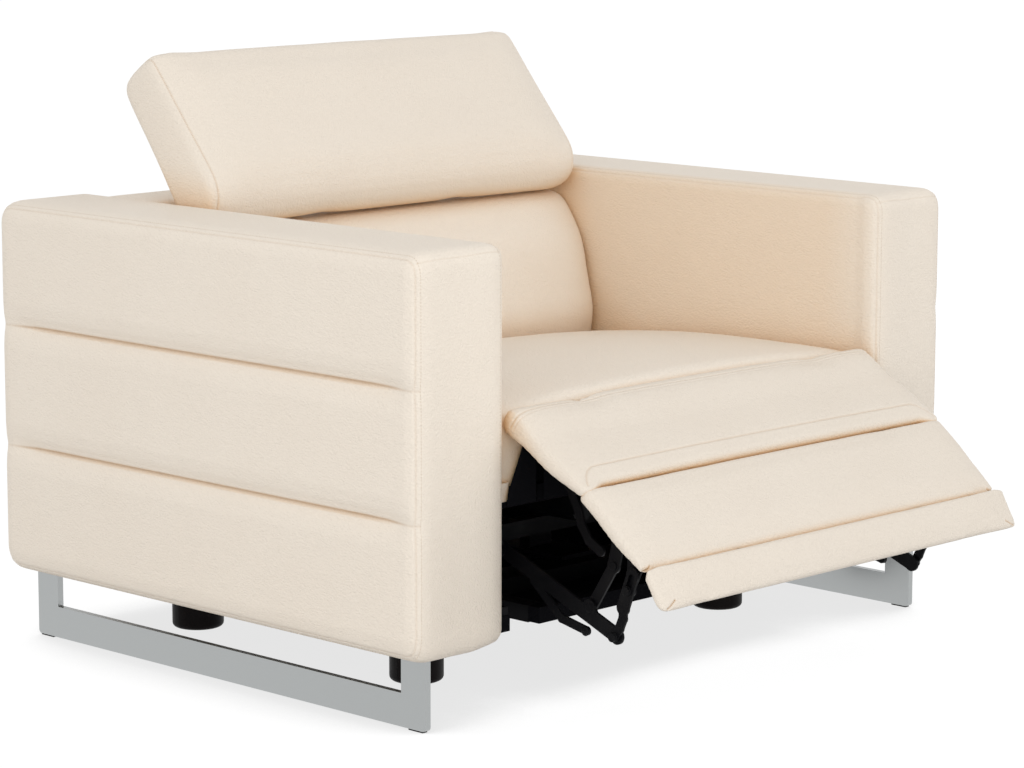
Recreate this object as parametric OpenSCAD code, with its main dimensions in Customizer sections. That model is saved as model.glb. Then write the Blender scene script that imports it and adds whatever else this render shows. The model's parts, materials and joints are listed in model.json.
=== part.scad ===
/* [Overall] */
// Width over both arms
overall_w = 1150; // [1050:5:1300]
// Depth of an arm from front to back
arm_d = 895; // [860:5:980]
// Height of the arm tops above the floor
arm_top = 670; // [650:5:720]
// Height of the arm undersides above the floor
arm_bottom = 108; // [100:1:120]

/* [Arms] */
// Width of one arm
arm_w = 165; // [140:1:190]
// Rounding of the arm's long edges
arm_edge_r = 28; // [18:1:36]
// Rounding of the arm's front and back edges
arm_end_r = 22; // [12:1:28]
// Height of the lower sewn channel above the arm's underside
channel_low = 189; // [150:1:220]
// Height of the upper sewn channel above the arm's underside
channel_high = 374; // [340:1:400]
// Depth of a sewn channel
channel_depth = 12; // [4:1:16]
// Half the height of the leather that a channel draws in
channel_half = 34; // [20:1:50]
// Length over which a channel fades out at the arm's ends
channel_fade = 60; // [30:1:100]
// Foam and leather over the arm's wooden frame
arm_foam = 24; // [20:1:30]
// Thickness of the boards of the wooden frames
board_t = 18; // [12:1:22]

/* [Sled legs] */
// Width of the flat steel bar
bar_w = 48; // [38:1:56]
// Thickness of the flat steel bar
bar_t = 10; // [6:1:12]
// How far a sled leg stands in from the arm's outer face
sled_inset = 32; // [26:1:50]
// How far a sled leg stands back from the arm's front
sled_front = 20; // [10:1:60]
// How far a sled leg stands in from the arm's back
sled_back = 28; // [10:1:60]
// Thickness of the glide pads under a sled leg
pad_t = 2; // [1.5:0.5:4]
// Length of a glide pad
pad_l = 28; // [20:1:40]

/* [Feet] */
// Diameter of a round foot
foot_d = 80; // [60:1:90]
// How far the front feet stand back from the arm's front
foot_front = 250; // [240:1:290]
// How far the back feet stand in from the arm's back
foot_back = 160; // [130:1:200]

/* [Base frame] */
// Height of the base rails
rail_h = 23; // [20:1:26]
// Thickness of the front rail
rail_t = 22; // [18:1:24]
// How far the front rail stands back from the arm's front
rail_front = 42; // [40:1:46]
// Width of a long base rail
rail_w = 30; // [26:1:32]
// Height of the gap under the base rails, over the arm's underside
rail_gap = 2; // [1.5:0.5:4]

/* [Seat] */
// Gap between the seat and an arm
seat_gap = 3; // [2:0.5:6]
// Depth taken by the back, from the arm's back to the seat
back_depth = 323; // [310:1:335]
// Height of the seat frame's underside over the base rails
seat_rise = 161; // [159:1:164]
// Height of the seat frame
seat_frame_h = 24; // [20:1:28]
// Height of the seat cushion's edge over the seat frame
seat_cushion_h = 102; // [90:1:106]
// How much the seat cushion is crowned
seat_crown = 20; // [8:1:26]

/* [Footrest] */
// Height of the flap's hinge over the base rails
flap_hinge_rise = 276; // [270:1:280]
// Length of the flap between the seat and the footrest
flap_l = 155; // [148:1:162]
// Thickness of the flap at its hinge
flap_t = 28; // [22:1:30]
// Slope of the flap at rest, below level
flap_slope = 29; // [26:1:31]
// Length of the main footrest pad
main_l = 144; // [138:1:148]
// Slope of the main footrest pad at rest, below level
main_slope = 41.6; // [38:0.2:44]
// Thickness of the main footrest pad next to the flap
main_t = 25; // [20:1:30]
// Length of the toe pad
toe_l = 60; // [54:1:64]
// Slope of the toe pad at rest, below level
toe_slope = 60; // [56:1:64]
// Thickness of the toe pad
toe_t = 19; // [14:1:22]
// How far each pad ends inside the seat's width
pad_side_gap = 12; // [8:1:16]

/* [Footrest mechanism] */
// Thickness of a link
link_t = 4; // [3:0.5:4]
// Width of a long link
link_w = 24; // [20:1:26]
// Gap between links that lie side by side
link_gap = 1; // [0.5:0.25:1.25]
// Distance from an arm to the plane of the long link
link_inset = 82; // [80:1:86]
// Diameter of a pivot pin
pin_d = 8; // [6:0.5:9]
// Clearance round a pivot pin
pin_gap = 0.1; // [0.05:0.05:0.3]
// Diameter of the drive tube
tube_d = 22; // [18:1:24]

/* [Back] */
// Slope of the back cushion, back from upright
back_slope = 17; // [15:0.5:19]
// Thickness of the back cushion
back_t = 112; // [100:1:120]
// How much the back cushion is crowned
back_crown = 10; // [4:1:14]
// Height of the back hinge over the base rails
back_hinge_rise = 117; // [110:1:125]
// Thickness of the rear shell
shell_t = 28; // [22:1:34]
// Height of the rear shell's lower edge above the floor
shell_low = 218; // [212:1:230]

/* [Headrest] */
// Slope of the headrest, back from upright
head_slope = 36.5; // [30:0.5:42]
// Thickness of the headrest at its top
head_t = 84; // [74:1:90]
// Length of the headrest over its hinge
head_l = 214; // [190:1:225]
// Radius of the headrest's rolled lower edge
head_roll_r = 50; // [46:1:52]
// How far the headrest ends inside the seat's width
head_side_gap = 10; // [6:1:20]

/* [Hidden] */
$fn = 48;
eps = 0.01;

leather = [0.89, 0.84, 0.77];
black_steel = [0.09, 0.09, 0.10];
grey_cloth = [0.16, 0.16, 0.18];
satin_chrome = [0.69, 0.71, 0.70];
black_plastic = [0.05, 0.05, 0.05];
wood = [0.76, 0.62, 0.43];

// Main places, all measured from the arms' front plane, the centre plane and the floor
half_w = overall_w / 2;
in_w = half_w - arm_w;
seat_w = in_w - seat_gap;
pad_w = seat_w - pad_side_gap;
rail_z = arm_bottom + rail_gap;
deck = rail_z + rail_h;
seat_d = arm_d - back_depth;
seat_z = deck + seat_rise;
cushion_z = seat_z + seat_frame_h;
rub_gap = 0.3;
link_x = in_w - link_inset;
layer = link_t + link_gap;

// A direction in the side view, given as the angle below level towards the front
function ahead(a) = [-cos(a), -sin(a)];
// The square direction on the upper side of ahead(a)
function above(a) = [-sin(a), cos(a)];

// Footrest places in the side view (depth, height)
flap_pivot = [4, deck + flap_hinge_rise];
crease = flap_pivot + flap_l * ahead(flap_slope) + 12 * above(flap_slope);
function on_main(s, n) = crease + s * ahead(main_slope) - n * above(main_slope);
main_pivot = on_main(-1, main_t - 6);
toe_pivot = on_main(main_l + 5.5, 4);
toe_rise = 14;
function on_toe(s, n) = toe_pivot + s * ahead(toe_slope) + (toe_rise - n) * above(toe_slope);
function on_flap(s, n) = flap_pivot + s * ahead(flap_slope) + n * above(flap_slope);

// Linkage pivots in the side view
crank_pivot = [115, deck + 145];
long_pivot = [83, deck + 87.3];
front_pivot = [-141, deck - 4];
slot_pivot = [-166, deck + 65];
upright_pivot = [-89, deck + 28];
upright_top = [-130, deck + 93];
brace_end = [-84, deck - 6];
motor_x = -150;

// Back and headrest places in the side view
back_pivot = [seat_d + 108, deck + back_hinge_rise];
back_foot = [seat_d + 64, cushion_z + 2];
back_top_z = arm_top - 43;
function back_face(z) = back_foot[0] + (z - back_foot[1]) * tan(back_slope);
function back_rear(z) = back_foot[0] + 19 + (z - back_foot[1]) * tan(back_slope - 2);
rim_z = arm_top - 5;
rim_front = arm_d - 150;
head_pivot = [seat_d + 90, arm_top + 20];
function on_head(s, n) =
    head_pivot + s * [sin(head_slope), cos(head_slope)] + n * [-cos(head_slope), sin(head_slope)];
guide_rise = 234;
guide_pin = back_pivot + [40, guide_rise];

// The frame's origin is midway between the toe pad's front and the arm's back
front_reach = -on_toe(toe_l, 0)[0] + 2;
frame_y = (arm_d - front_reach) / 2;

module place() { translate([0, -frame_y, 0]) children(); }
module both_sides() {
    children();
    mirror([1, 0, 0]) children();
}
// Extrudes an outline drawn in the side view (depth, height) from x over a thickness
module side_plate_at(x, t) { translate([x, 0, 0]) rotate([90, 0, 90]) linear_extrude(t) children(); }
module cross_rod(p, r, x0, x1) { translate([x0, p[0], p[1]]) rotate([0, 90, 0]) cylinder(r = r, h = x1 - x0); }
module block(x0, x1, y0, y1, z0, z1) { translate([x0, y0, z0]) cube([x1 - x0, y1 - y0, z1 - z0]); }
// A bar with round eyes, which stand a little proud of its sides
eye_share = 0.94;
module bar_2d(a, b, w) {
    d = b - a;
    translate(a) rotate(atan2(d[1], d[0])) translate([0, -w * eye_share / 2]) square([norm(d), w * eye_share]);
    translate(a) circle(d = w);
    translate(b) circle(d = w);
}
module path_bar_2d(path, w) { for (i = [0 : len(path) - 2]) bar_2d(path[i], path[i + 1], w); }

// A rounded corner between two edges of an outline, with r as the length taken from each edge
function corner_arc(a, p, b, r, n) =
    let (s = p + r * (a - p) / norm(a - p), e = p + r * (b - p) / norm(b - p))
    [for (k = [0 : n]) let (t = k / n) (1 - t) * (1 - t) * s + 2 * t * (1 - t) * p + t * t * e];
// An outline from its corners and the length that rounds each of them
function rounded(c, r, n = 4) =
    let (m = len(c))
    [for (i = [0 : m - 1]) each corner_arc(c[(i + m - 1) % m], c[i], c[(i + 1) % m], r[i], n)];
function out_dir(p, i) =
    let (m = len(p), t = p[(i + 1) % m] - p[(i + m - 1) % m]) [t[1], -t[0]] / norm(t);

// Closes a skin over rings of equal length
module skin(rings) {
    n = len(rings[0]);
    m = len(rings);
    polyhedron(
        points = [for (r = rings) each r],
        faces = concat(
            [[for (i = [0 : n - 1]) i]],
            [[for (i = [n - 1 : -1 : 0]) (m - 1) * n + i]],
            [for (j = [0 : m - 2]) for (i = [0 : n - 1]) let (k = (i + 1) % n, a = j * n, b = a + n)
                each [[a + i, b + i, a + k], [a + k, b + i, b + k]]]
        )
    );
}

// A cushion across the chair: its side outline is drawn in over edge towards both ends,
// by in_side, and crowned between them on the faces that look along the crown direction
pillow_steps = [1, 0.8, 0.5, 0.2, 0];
function pillow_stations(w, edge) = concat(
    [for (t = pillow_steps) -w + edge * (1 - t)],
    [for (k = [-2 : 2]) k / 3 * (w - edge)],
    [for (i = [len(pillow_steps) - 1 : -1 : 0]) w - edge * (1 - pillow_steps[i])]
);
function drawn(x, w, edge, in_side) =
    let (t = max(0, (abs(x) - (w - edge)) / edge)) in_side * (1 - sqrt(max(0, 1 - t * t)));
module pillow(outline, w, edge, in_side, crown, dir) {
    skin([for (x = pillow_stations(w, edge))
        let (
            inset = drawn(x, w, edge, in_side),
            swell = crown * (1 - pow(x / w, 2) * 0.9)
        )
        [for (i = [0 : len(outline) - 1])
            let (n = out_dir(outline, i), q = outline[i] + n * (swell * pow(max(0, n * dir), 2) - inset))
            [x, q[0], q[1]]]
    ]);
}

// Arms
channels = [arm_bottom + channel_low, arm_bottom + channel_high];
channel_rows = [-1, -0.45, -0.12, 0, 0.12, 0.45, 1];
function arc_pts(c, r, a0, a1, n) = [for (k = [0 : n]) let (a = a0 + (a1 - a0) * k / n) c + r * [cos(a), sin(a)]];
function channel_at(z) =
    max([for (zc = channels) let (t = min(1, abs(z - zc) / channel_half)) channel_depth * pow(1 - t, 2)]);
function end_share(y) =
    let (t = max(0, min(1, min(y, arm_d - y) / channel_fade))) 0.18 + 0.82 * t * t * (3 - 2 * t);
function arm_ring(y) =
    let (
        d = min(y, arm_d - y),
        e = d < arm_end_r ? arm_end_r - sqrt(pow(arm_end_r, 2) - pow(arm_end_r - d, 2)) : 0,
        r = max(arm_edge_r - e * 0.6, 4),
        xi = in_w + e, xo = half_w - e, zb = arm_bottom + e, zt = arm_top - e
    )
    [for (p = concat(
        arc_pts([xo - r, zb + r], r, -90, 0, 3),
        [for (zc = channels) for (k = channel_rows) let (z = zc + k * channel_half)
            [xo - channel_at(z) * end_share(y), z]],
        arc_pts([xo - r, zt - r], r, 0, 90, 4),
        arc_pts([xi + r * 0.6, zt - r * 0.6], r * 0.6, 90, 180, 3),
        arc_pts([xi + r * 0.5, zb + r * 0.5], r * 0.5, 180, 270, 2)
    )) [p[0], y, p[1]]];
arm_stations = concat(
    [for (a = [0, 30, 60, 90]) arm_end_r * (1 - cos(a))],
    [for (t = [0.35, 0.7, 1]) arm_end_r + (channel_fade - arm_end_r) * t],
    [for (k = [1 : 3]) channel_fade + (arm_d - 2 * channel_fade) * k / 4],
    [for (t = [1, 0.7, 0.35]) arm_d - arm_end_r - (channel_fade - arm_end_r) * t],
    [for (a = [90, 60, 30, 0]) arm_d - arm_end_r * (1 - cos(a))]
);
module arm_core(t, over) {
    block(in_w + arm_foam + t, half_w - arm_foam - t, arm_foam + t, arm_d - arm_foam - t,
        arm_bottom + (t > 0 ? t : -over), arm_top - arm_foam - t);
}
module arm_cover() {
    color(leather) difference() {
        skin([for (i = [len(arm_stations) - 1 : -1 : 0]) arm_ring(arm_stations[i])]);
        arm_core(0, 1);
    }
}
module right_arm_cover() { place() arm_cover(); }
module left_arm_cover() { place() mirror([1, 0, 0]) arm_cover(); }
arm_window = 150;
window_pitch = arm_d * 0.28;
window_low = 120;
window_high = 190;
module arm_frame() {
    color(wood) difference() {
        arm_core(0, 0);
        arm_core(board_t, 0);
        for (k = [0 : 2]) {
            y = arm_d / 2 + (k - 1) * window_pitch - arm_window / 2;
            block(in_w, half_w, y, y + arm_window, arm_bottom + window_low, arm_top - window_high);
        }
    }
}
module right_arm_frame() { place() arm_frame(); }
module left_arm_frame() { place() mirror([1, 0, 0]) arm_frame(); }

// Sled legs, a flat bar bent to a U with welded mounting tabs
sled_x = half_w - sled_inset - bar_t;
sled_y0 = sled_front;
sled_y1 = arm_d - sled_back;
tab_l = 52;
tab_t = 5;
bend_r = 6;
module sled_corner(y, s) {
    difference() {
        translate([y, pad_t]) square([bend_r, bend_r]);
        translate([y + (s > 0 ? bend_r : 0), pad_t + bend_r]) circle(bend_r);
    }
}
module sled_leg() {
    color(satin_chrome) {
        side_plate_at(sled_x, bar_t) difference() {
            translate([sled_y0, pad_t]) square([sled_y1 - sled_y0, arm_bottom - pad_t]);
            translate([sled_y0 + bar_w, pad_t + bar_w])
                square([sled_y1 - sled_y0 - 2 * bar_w, arm_bottom]);
            sled_corner(sled_y0, 1);
            sled_corner(sled_y1 - bend_r, -1);
        }
        for (y = [sled_y0, sled_y1 - bar_w])
            difference() {
                block(sled_x - tab_l, sled_x + eps, y, y + bar_w, arm_bottom - tab_t, arm_bottom);
                for (s = tab_screws) translate([sled_x - s, y + bar_w / 2, arm_bottom - tab_t - 1])
                    cylinder(d = screw_d + 1, h = tab_t + 2);
            }
    }
}
screw_d = 6;
tab_screws = [16, 38];
module right_sled_leg() { place() sled_leg(); }
module left_sled_leg() { place() mirror([1, 0, 0]) sled_leg(); }
module sled_glide_pads() {
    place() color(black_plastic) both_sides() for (y = [sled_y0 + bend_r, sled_y1 - bend_r - pad_l])
        block(sled_x + 0.5, sled_x + bar_t - 0.5, y, y + pad_l, 0, pad_t);
}
module sled_screws() {
    place() color(black_steel) both_sides() for (y = [sled_y0, sled_y1 - bar_w]) for (s = tab_screws)
        translate([sled_x - s, y + bar_w / 2, arm_bottom - tab_t]) {
            translate([0, 0, -3]) cylinder(d = 12, h = 3);
            cylinder(d = screw_d, h = tab_t);
        }
}

// Round feet
foot_x = in_w - 75;
foot_edge = 7;
module foot() {
    color(black_plastic) rotate_extrude($fn = 64) polygon(concat(
        [[0, rail_z], [0, 0]],
        arc_pts([foot_d / 2 - foot_edge, foot_edge], foot_edge, -90, 0, 5),
        [[foot_d / 2, rail_z]]
    ));
}
foot_ys = [foot_front, arm_d - foot_back];
module round_feet() { place() both_sides() for (y = foot_ys) translate([foot_x, y, 0]) foot(); }

// Base frame: the links pass through the slots between the long rails
slot_in = link_x - 34;
slot_out = link_x + 26;
slot_end = foot_front - foot_d / 2 - 4;
rear_rail_y = arm_d - 75;
module front_rail() {
    place() color(grey_cloth) {
        block(-slot_in, slot_in, rail_front, rail_front + rail_t, rail_z, deck);
        both_sides() block(slot_out, in_w, rail_front, rail_front + rail_t, rail_z, deck);
    }
}
module base_rails() {
    place() color(black_steel) {
        y0 = rail_front + rail_t;
        both_sides() {
            block(slot_out, slot_out + rail_w, y0, rear_rail_y, rail_z, deck);
            block(slot_in - rail_w, slot_in, y0, slot_end + eps, rail_z, deck);
        }
        block(-in_w, in_w, slot_end, slot_end + 2 * rail_w, rail_z, deck);
        block(-slot_out - eps, slot_out + eps, foot_ys[1] - rail_w, foot_ys[1] + rail_w, rail_z, deck);
        block(-in_w, in_w, rear_rail_y - eps, rear_rail_y + rail_w, rail_z, deck);
    }
}
cloth_t = 1.5;
module dust_cover() {
    place() color(black_plastic) difference() {
        block(-in_w + 1, in_w - 1, rail_front + rail_t, rear_rail_y + rail_w, rail_z - cloth_t, rail_z);
        both_sides() {
            block(slot_in, slot_out, 0, slot_end, rail_z - 10, rail_z + 10);
            for (y = foot_ys) translate([foot_x, y, rail_z - 10]) cylinder(d = foot_d + 1, h = 20);
        }
    }
}

// Roller tracks on the outer base rails
track_w = 26;
track_wall = 2;
track_h = 12;
track_x = slot_out + rail_w / 2;
track_y0 = rail_front + 2;
wheel_r = 16;
wheel_w = 15;
axle_z = deck + track_wall + wheel_r + rub_gap;
wheel_ys = [160, seat_d - 12];
track_y1 = wheel_ys[1] + 40;
module roller_tracks() {
    place() color(black_steel) both_sides() difference() {
        block(track_x - track_w / 2, track_x + track_w / 2, track_y0, track_y1, deck, deck + track_h);
        block(track_x - track_w / 2 + track_wall, track_x + track_w / 2 - track_wall,
            track_y0 + 3, track_y1 - 3, deck + track_wall, deck + track_h + 1);
    }
}

// Rear valance, fixed between the arms under the moving rear shell
valance_t = 18;
valance_top = 186;
module rear_valance() {
    place() color(leather) difference() {
        block(-in_w, in_w, arm_d - valance_t - 4, arm_d - 4, arm_bottom, valance_top);
        translate([inlet_x, arm_d, inlet_z]) rotate([90, 0, 0]) cylinder(d = inlet_d, h = 60);
    }
    place() color(wood) block(-in_w, in_w, rear_rail_y + rail_w, arm_d - valance_t - 4, rail_z, deck);
}
inlet_x = in_w - 110;
inlet_z = arm_bottom + 50;
inlet_d = 24;
inlet_bore = 8;
module power_inlet() {
    place() color(black_plastic) translate([inlet_x, arm_d, inlet_z]) rotate([90, 0, 0]) difference() {
        union() {
            cylinder(d = inlet_d + 8, h = 4);
            cylinder(d = inlet_d, h = valance_t + 4);
        }
        translate([0, 0, -1]) cylinder(d = inlet_bore, h = 14);
    }
}

// Glide motor between base and carriage, its rod pushes the carriage forwards
rod_z = deck + 62;
rod_d = 16;
motor_y0 = 300;
motor_y1 = 520;
module glide_motor() {
    place() color(black_steel) {
        difference() {
            union() {
                translate([0, motor_y1, rod_z]) rotate([90, 0, 0]) cylinder(d = 46, h = motor_y1 - motor_y0);
                block(-28, 28, motor_y1 - 70, motor_y1 - 10, rod_z - 28, rod_z + 28);
            }
            translate([0, motor_y0 + 180, rod_z]) rotate([90, 0, 0]) cylinder(d = rod_d + 2 * pin_gap, h = 190);
        }
        block(-24, 24, motor_y0 + 20, motor_y0 + 40, deck + 6 - eps, rod_z - 16);
        block(-24, 24, motor_y1 - 60, motor_y1 - 20, deck + 6 - eps, rod_z - 20);
        block(-40, 40, slot_end + rail_w, foot_ys[1], deck, deck + 6);
    }
}
module glide_rod() {
    place() color(satin_chrome) translate([0, motor_y0 + 170, rod_z]) rotate([90, 0, 0])
        cylinder(d = rod_d, h = motor_y0 + 170 - cross_y - cross_w);
}
cross_y = 236;
cross_w = 25;
module cross_tube() {
    place() color(black_steel)
        block(-plate_x, plate_x, cross_y, cross_y + cross_w, rod_z - cross_w / 2, rod_z + cross_w / 2);
}

// Switches on the inner face of one arm, behind the footrest's side
switch_y = 300;
switch_z = arm_top - 70;
button_r = 9;
button_gap = 0.3;
button_pitch = 30;
panel_t = 4;
module switch_at(k) {
    translate([-in_w, switch_y + k * button_pitch, switch_z]) rotate([0, 90, 0]) children();
}
module switch_panel() {
    place() color(black_plastic) difference() {
        translate([-in_w, switch_y - 20, switch_z - 18]) cube([panel_t, button_pitch + 40, 36]);
        for (k = [0, 1]) switch_at(k) translate([0, 0, 0.8]) cylinder(r = button_r + button_gap, h = panel_t);
    }
}
module push_button(k) {
    place() color(satin_chrome) switch_at(k) translate([0, 0, 2.3]) cylinder(r = button_r, h = panel_t);
}
module open_button() { push_button(0); }
module close_button() { push_button(1); }

// Carriage: seat frame, side plates and rollers
plate_x = link_x + 3 * layer;
seat_rail_w = 36;
seat_front_y = 46;
seat_rail_d = 30;
seat_hole_y0 = seat_front_y + seat_rail_d;
seat_hole_y1 = seat_d - seat_rail_d;
// Room for the links in the seat's front: the cranks under the rail and the stays through it
slit = 1.2;
module link_slits() {
    both_sides() {
        block(stay_x - slit, link_x + 2 * layer + slit, 0, seat_front_y + 32, seat_z - 1, seat_z + 7);
        block(stay_x - slit, stay_x + link_t + slit, 0, seat_front_y + 8, seat_z - 1, cushion_z + 50);
    }
}
module seat_frame() {
    place() color(wood) difference() {
        block(-plate_x - link_t - seat_rail_w, plate_x + link_t + seat_rail_w,
            seat_front_y, seat_d, seat_z, cushion_z);
        block(-plate_x - link_t, plate_x + link_t, seat_hole_y0, seat_hole_y1, seat_z - 1, cushion_z + 1);
        both_sides() block(plate_x, plate_x + link_t, seat_hole_y1 - 1, seat_d + 1, seat_z - 1, cushion_z - 4);
        link_slits();
    }
}
strap_w = 50;
strap_t = 1.5;
cross_straps = 5;
strap_room = (seat_hole_y1 - seat_hole_y0) / cross_straps;
long_strap_pitch = (plate_x + link_t) * 0.26;
module seat_webbing() {
    inner = plate_x + link_t;
    place() color(black_plastic) {
        for (k = [-3 : 3]) block(k * long_strap_pitch - strap_w / 2, k * long_strap_pitch + strap_w / 2,
            seat_hole_y0, seat_hole_y1, cushion_z - 2 * strap_t, cushion_z - strap_t);
        for (k = [0 : cross_straps - 1]) let (y = seat_hole_y0 + (k + 0.5) * strap_room - strap_w / 2)
            block(-inner, inner, y, y + strap_w, cushion_z - strap_t, cushion_z);
    }
}
seat_front = 19;
seat_outline = rounded([
    [seat_front + 6, cushion_z], [seat_d - 4, cushion_z],
    [seat_d - 2, cushion_z + seat_cushion_h - 28], [seat_d * 0.6, cushion_z + seat_cushion_h - 4],
    [seat_front, cushion_z + seat_cushion_h - 1]
], [10, 6, 40, 120, 26]);
module seat_cushion() {
    place() color(leather) difference() {
        pillow(seat_outline, seat_w, 46, 10, seat_crown, [0, 1]);
        both_sides() block(arm_x - arm_slot / 2, arm_x + arm_slot / 2,
            0, seat_front_y + 2, cushion_z - 1, flap_pivot[1] + 5);
        both_sides() block(arm_x - 16, arm_x + 16, 0, seat_front + 9, flap_pivot[1] - 30, flap_pivot[1] + 5);
        link_slits();
    }
}
cloth_y = 24;
module seat_front_cloth() {
    place() color(grey_cloth) {
        difference() {
            block(-pad_w, pad_w, cloth_y, seat_front_y, seat_z, cushion_z);
            both_sides() block(arm_x - arm_slot / 2, arm_x + arm_slot / 2, 0, seat_front_y + 1,
                seat_z - 1, cushion_z + 1);
            link_slits();
        }
    }
}
cheek_outline = [[cloth_y + 2, seat_z], [seat_front_y, seat_z], [seat_front_y, cushion_z],
    [cloth_y - 4, cushion_z]];
module seat_cheeks() {
    place() color(leather) both_sides() side_plate_at(pad_w, seat_w - pad_w) polygon(cheek_outline);
}

// Mechanism side plates carry the drive tube, the rollers and the back hinge
module side_plate_outline() {
    difference() {
        union() {
            translate([crank_pivot[0] - 28, axle_z - 16])
                square([back_pivot[0] - crank_pivot[0] - 20, cushion_z - 4 - axle_z + 16]);
            bar_2d([seat_d - 20, axle_z + 40], back_pivot, 50);
            bar_2d([seat_d - 40, seat_z - 6], back_pivot, 50);
        }
        for (k = [0 : 1]) translate([wheel_ys[0] + 120 + k * 165, axle_z + 28])
            plate_window(110, seat_z - axle_z - 60);
    }
}
window_r = 12;
module plate_window(l, h) {
    polygon(rounded([[0, 0], [l, 0], [l, h], [0, h]], [window_r, window_r, window_r, window_r]));
}
module side_plates() {
    place() color(black_steel) both_sides() difference() {
        union() {
            side_plate_at(plate_x, link_t) side_plate_outline();
            for (y = wheel_ys) cross_rod([y, axle_z], pin_d / 2, plate_x, track_x + wheel_w / 2 + 2);
            cross_rod(back_pivot, pin_d / 2 + 2, plate_x - 6, plate_x + link_t + 8);
        }
        cross_rod(crank_pivot, tube_d / 2 + pin_gap, plate_x - 1, plate_x + link_t + 1);
    }
}
module rollers(y) {
    place() color(black_plastic) both_sides() translate([track_x - wheel_w / 2, y, axle_z])
        rotate([0, 90, 0]) difference() {
            cylinder(r = wheel_r, h = wheel_w);
            translate([0, 0, -1]) cylinder(d = pin_d + 2 * pin_gap, h = wheel_w + 2);
            translate([0, 0, wheel_w - 3]) difference() {
                cylinder(r = wheel_r - 4, h = 4);
                cylinder(r = pin_d / 2 + 3, h = 4);
            }
        }
}
module front_rollers() { rollers(wheel_ys[0]); }
module rear_rollers() { rollers(wheel_ys[1]); }

// Hinge arms for the flap, bolted to the front of the seat frame
arm_x = 250;
arm_slot = 12;
arm_t = 8;
eye_r = 9;
module flap_hinge_arms() {
    place() color(black_steel) both_sides() {
        side_plate_at(arm_x - arm_t / 2, arm_t) difference() {
            union() {
                translate([seat_front_y - 14, seat_z + 2]) square([14, flap_pivot[1] - seat_z - 20]);
                bar_2d(flap_pivot, [seat_front_y - 7, flap_pivot[1] - 17], 12);
                translate(flap_pivot) circle(eye_r);
            }
            translate(flap_pivot) circle(d = pin_d + 2 * pin_gap);
        }
    }
}

// Gear motor clamped round the drive tube, hung from the seat frame's front rail
motor_l = 70;
module footrest_motor() {
    place() color(black_steel) difference() {
        union() {
            cross_rod(crank_pivot, 26, motor_x, motor_x + motor_l);
            translate([motor_x + motor_l / 2, crank_pivot[0] + 10, crank_pivot[1] - 36])
                rotate([-90, 0, 0]) cylinder(d = 44, h = 120);
            block(motor_x, motor_x + motor_l, crank_pivot[0] - 20, crank_pivot[0] + 20,
                crank_pivot[1] - 40, crank_pivot[1]);
            block(motor_x + 10, motor_x + motor_l - 10, seat_front_y, crank_pivot[0] + 14, seat_z - 8, seat_z);
        }
        cross_rod(crank_pivot, tube_d / 2 + pin_gap, motor_x - 1, motor_x + motor_l + 1);
    }
}

// Drive tube with a crank at each end
module drive_tube() {
    place() color(black_steel) {
        cross_rod(crank_pivot, tube_d / 2, -plate_x - link_t - 3, plate_x + link_t + 3);
        both_sides() {
            side_plate_at(link_x + layer, link_t) {
                bar_2d(crank_pivot, long_pivot, 26);
                translate(crank_pivot) circle(20);
            }
            cross_rod(long_pivot, pin_d / 2, link_x - 3, link_x + layer + link_t + 2);
            cross_rod(long_pivot, pin_d / 2 + 4, link_x - 3, link_x - rub_gap);
        }
    }
}

// Long links, with the jogged brace that runs under them
brace_top = [18, deck + 50];
brace_bend = [-36, deck + 4];
module long_links() {
    place() color(black_steel) both_sides() {
        side_plate_at(link_x, link_t) difference() {
            union() {
                bar_2d(long_pivot, front_pivot, link_w);
                bar_2d(upright_pivot, upright_pivot + [-3, -8], link_w);
                path_bar_2d([brace_top, brace_bend + [14, 12], brace_bend, brace_end], 13);
            }
            translate(long_pivot) circle(d = pin_d + 2 * pin_gap);
        }
        rivet(front_pivot, link_x + link_t - eps, link_gap + link_t + rub_gap);
        rivet(upright_pivot, link_x - layer - rub_gap, layer + rub_gap + eps, true);
        rivet(brace_end, link_x + link_t - eps, 1);
    }
}
// A pin with a domed head at its outer end, or at its inner end
module rivet(p, x, l, inner = false) {
    cross_rod(p, pin_d / 2, x, x + l);
    translate([inner ? x : x + l, p[0], p[1]]) rotate([0, inner ? -90 : 90, 0]) rivet_head();
}
module rivet_head() {
    rotate_extrude($fn = 32) polygon(concat(
        [[0, 0], [7, 0]], [for (a = [0 : 18 : 90]) [7 * cos(a), 0.6 + 2.4 * sin(a)]]
    ));
}

// Front links, with the slot that rides on the footrest's rivet
slot_ahead = atan2(slot_pivot[1] - front_pivot[1], slot_pivot[0] - front_pivot[0]);
slot_out_l = 20;
slot_in_l = 2;
slot_w = 10.5;
function along_front(s, n) =
    front_pivot + s * [cos(slot_ahead), sin(slot_ahead)] + n * [-sin(slot_ahead), cos(slot_ahead)];
front_l = norm(slot_pivot - front_pivot);
module front_links() {
    place() color(black_steel) both_sides()
        side_plate_at(link_x + layer, link_t) difference() {
            union() {
                path_bar_2d([front_pivot, along_front(16, 4), along_front(32, 5), along_front(46, 0)], 15);
                bar_2d(along_front(46, 0), along_front(front_l + slot_out_l + 4, 0), 22);
            }
            translate(front_pivot) circle(d = pin_d + 2 * pin_gap);
            bar_2d(along_front(front_l - slot_in_l, 0), along_front(front_l + slot_out_l, 0), slot_w);
        }
}

// Upright links, hinged on the long links
module upright_links() {
    place() color(black_steel) both_sides() {
        side_plate_at(link_x - layer, link_t) difference() {
            union() {
                bar_2d(upright_pivot, upright_top, 18);
                bar_2d(upright_top, upright_top + [-8, 34], 22);
            }
            translate(upright_pivot) circle(d = pin_d + 2 * pin_gap);
        }
        rivet(upright_top, link_x - layer, eps, true);
    }
}

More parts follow.
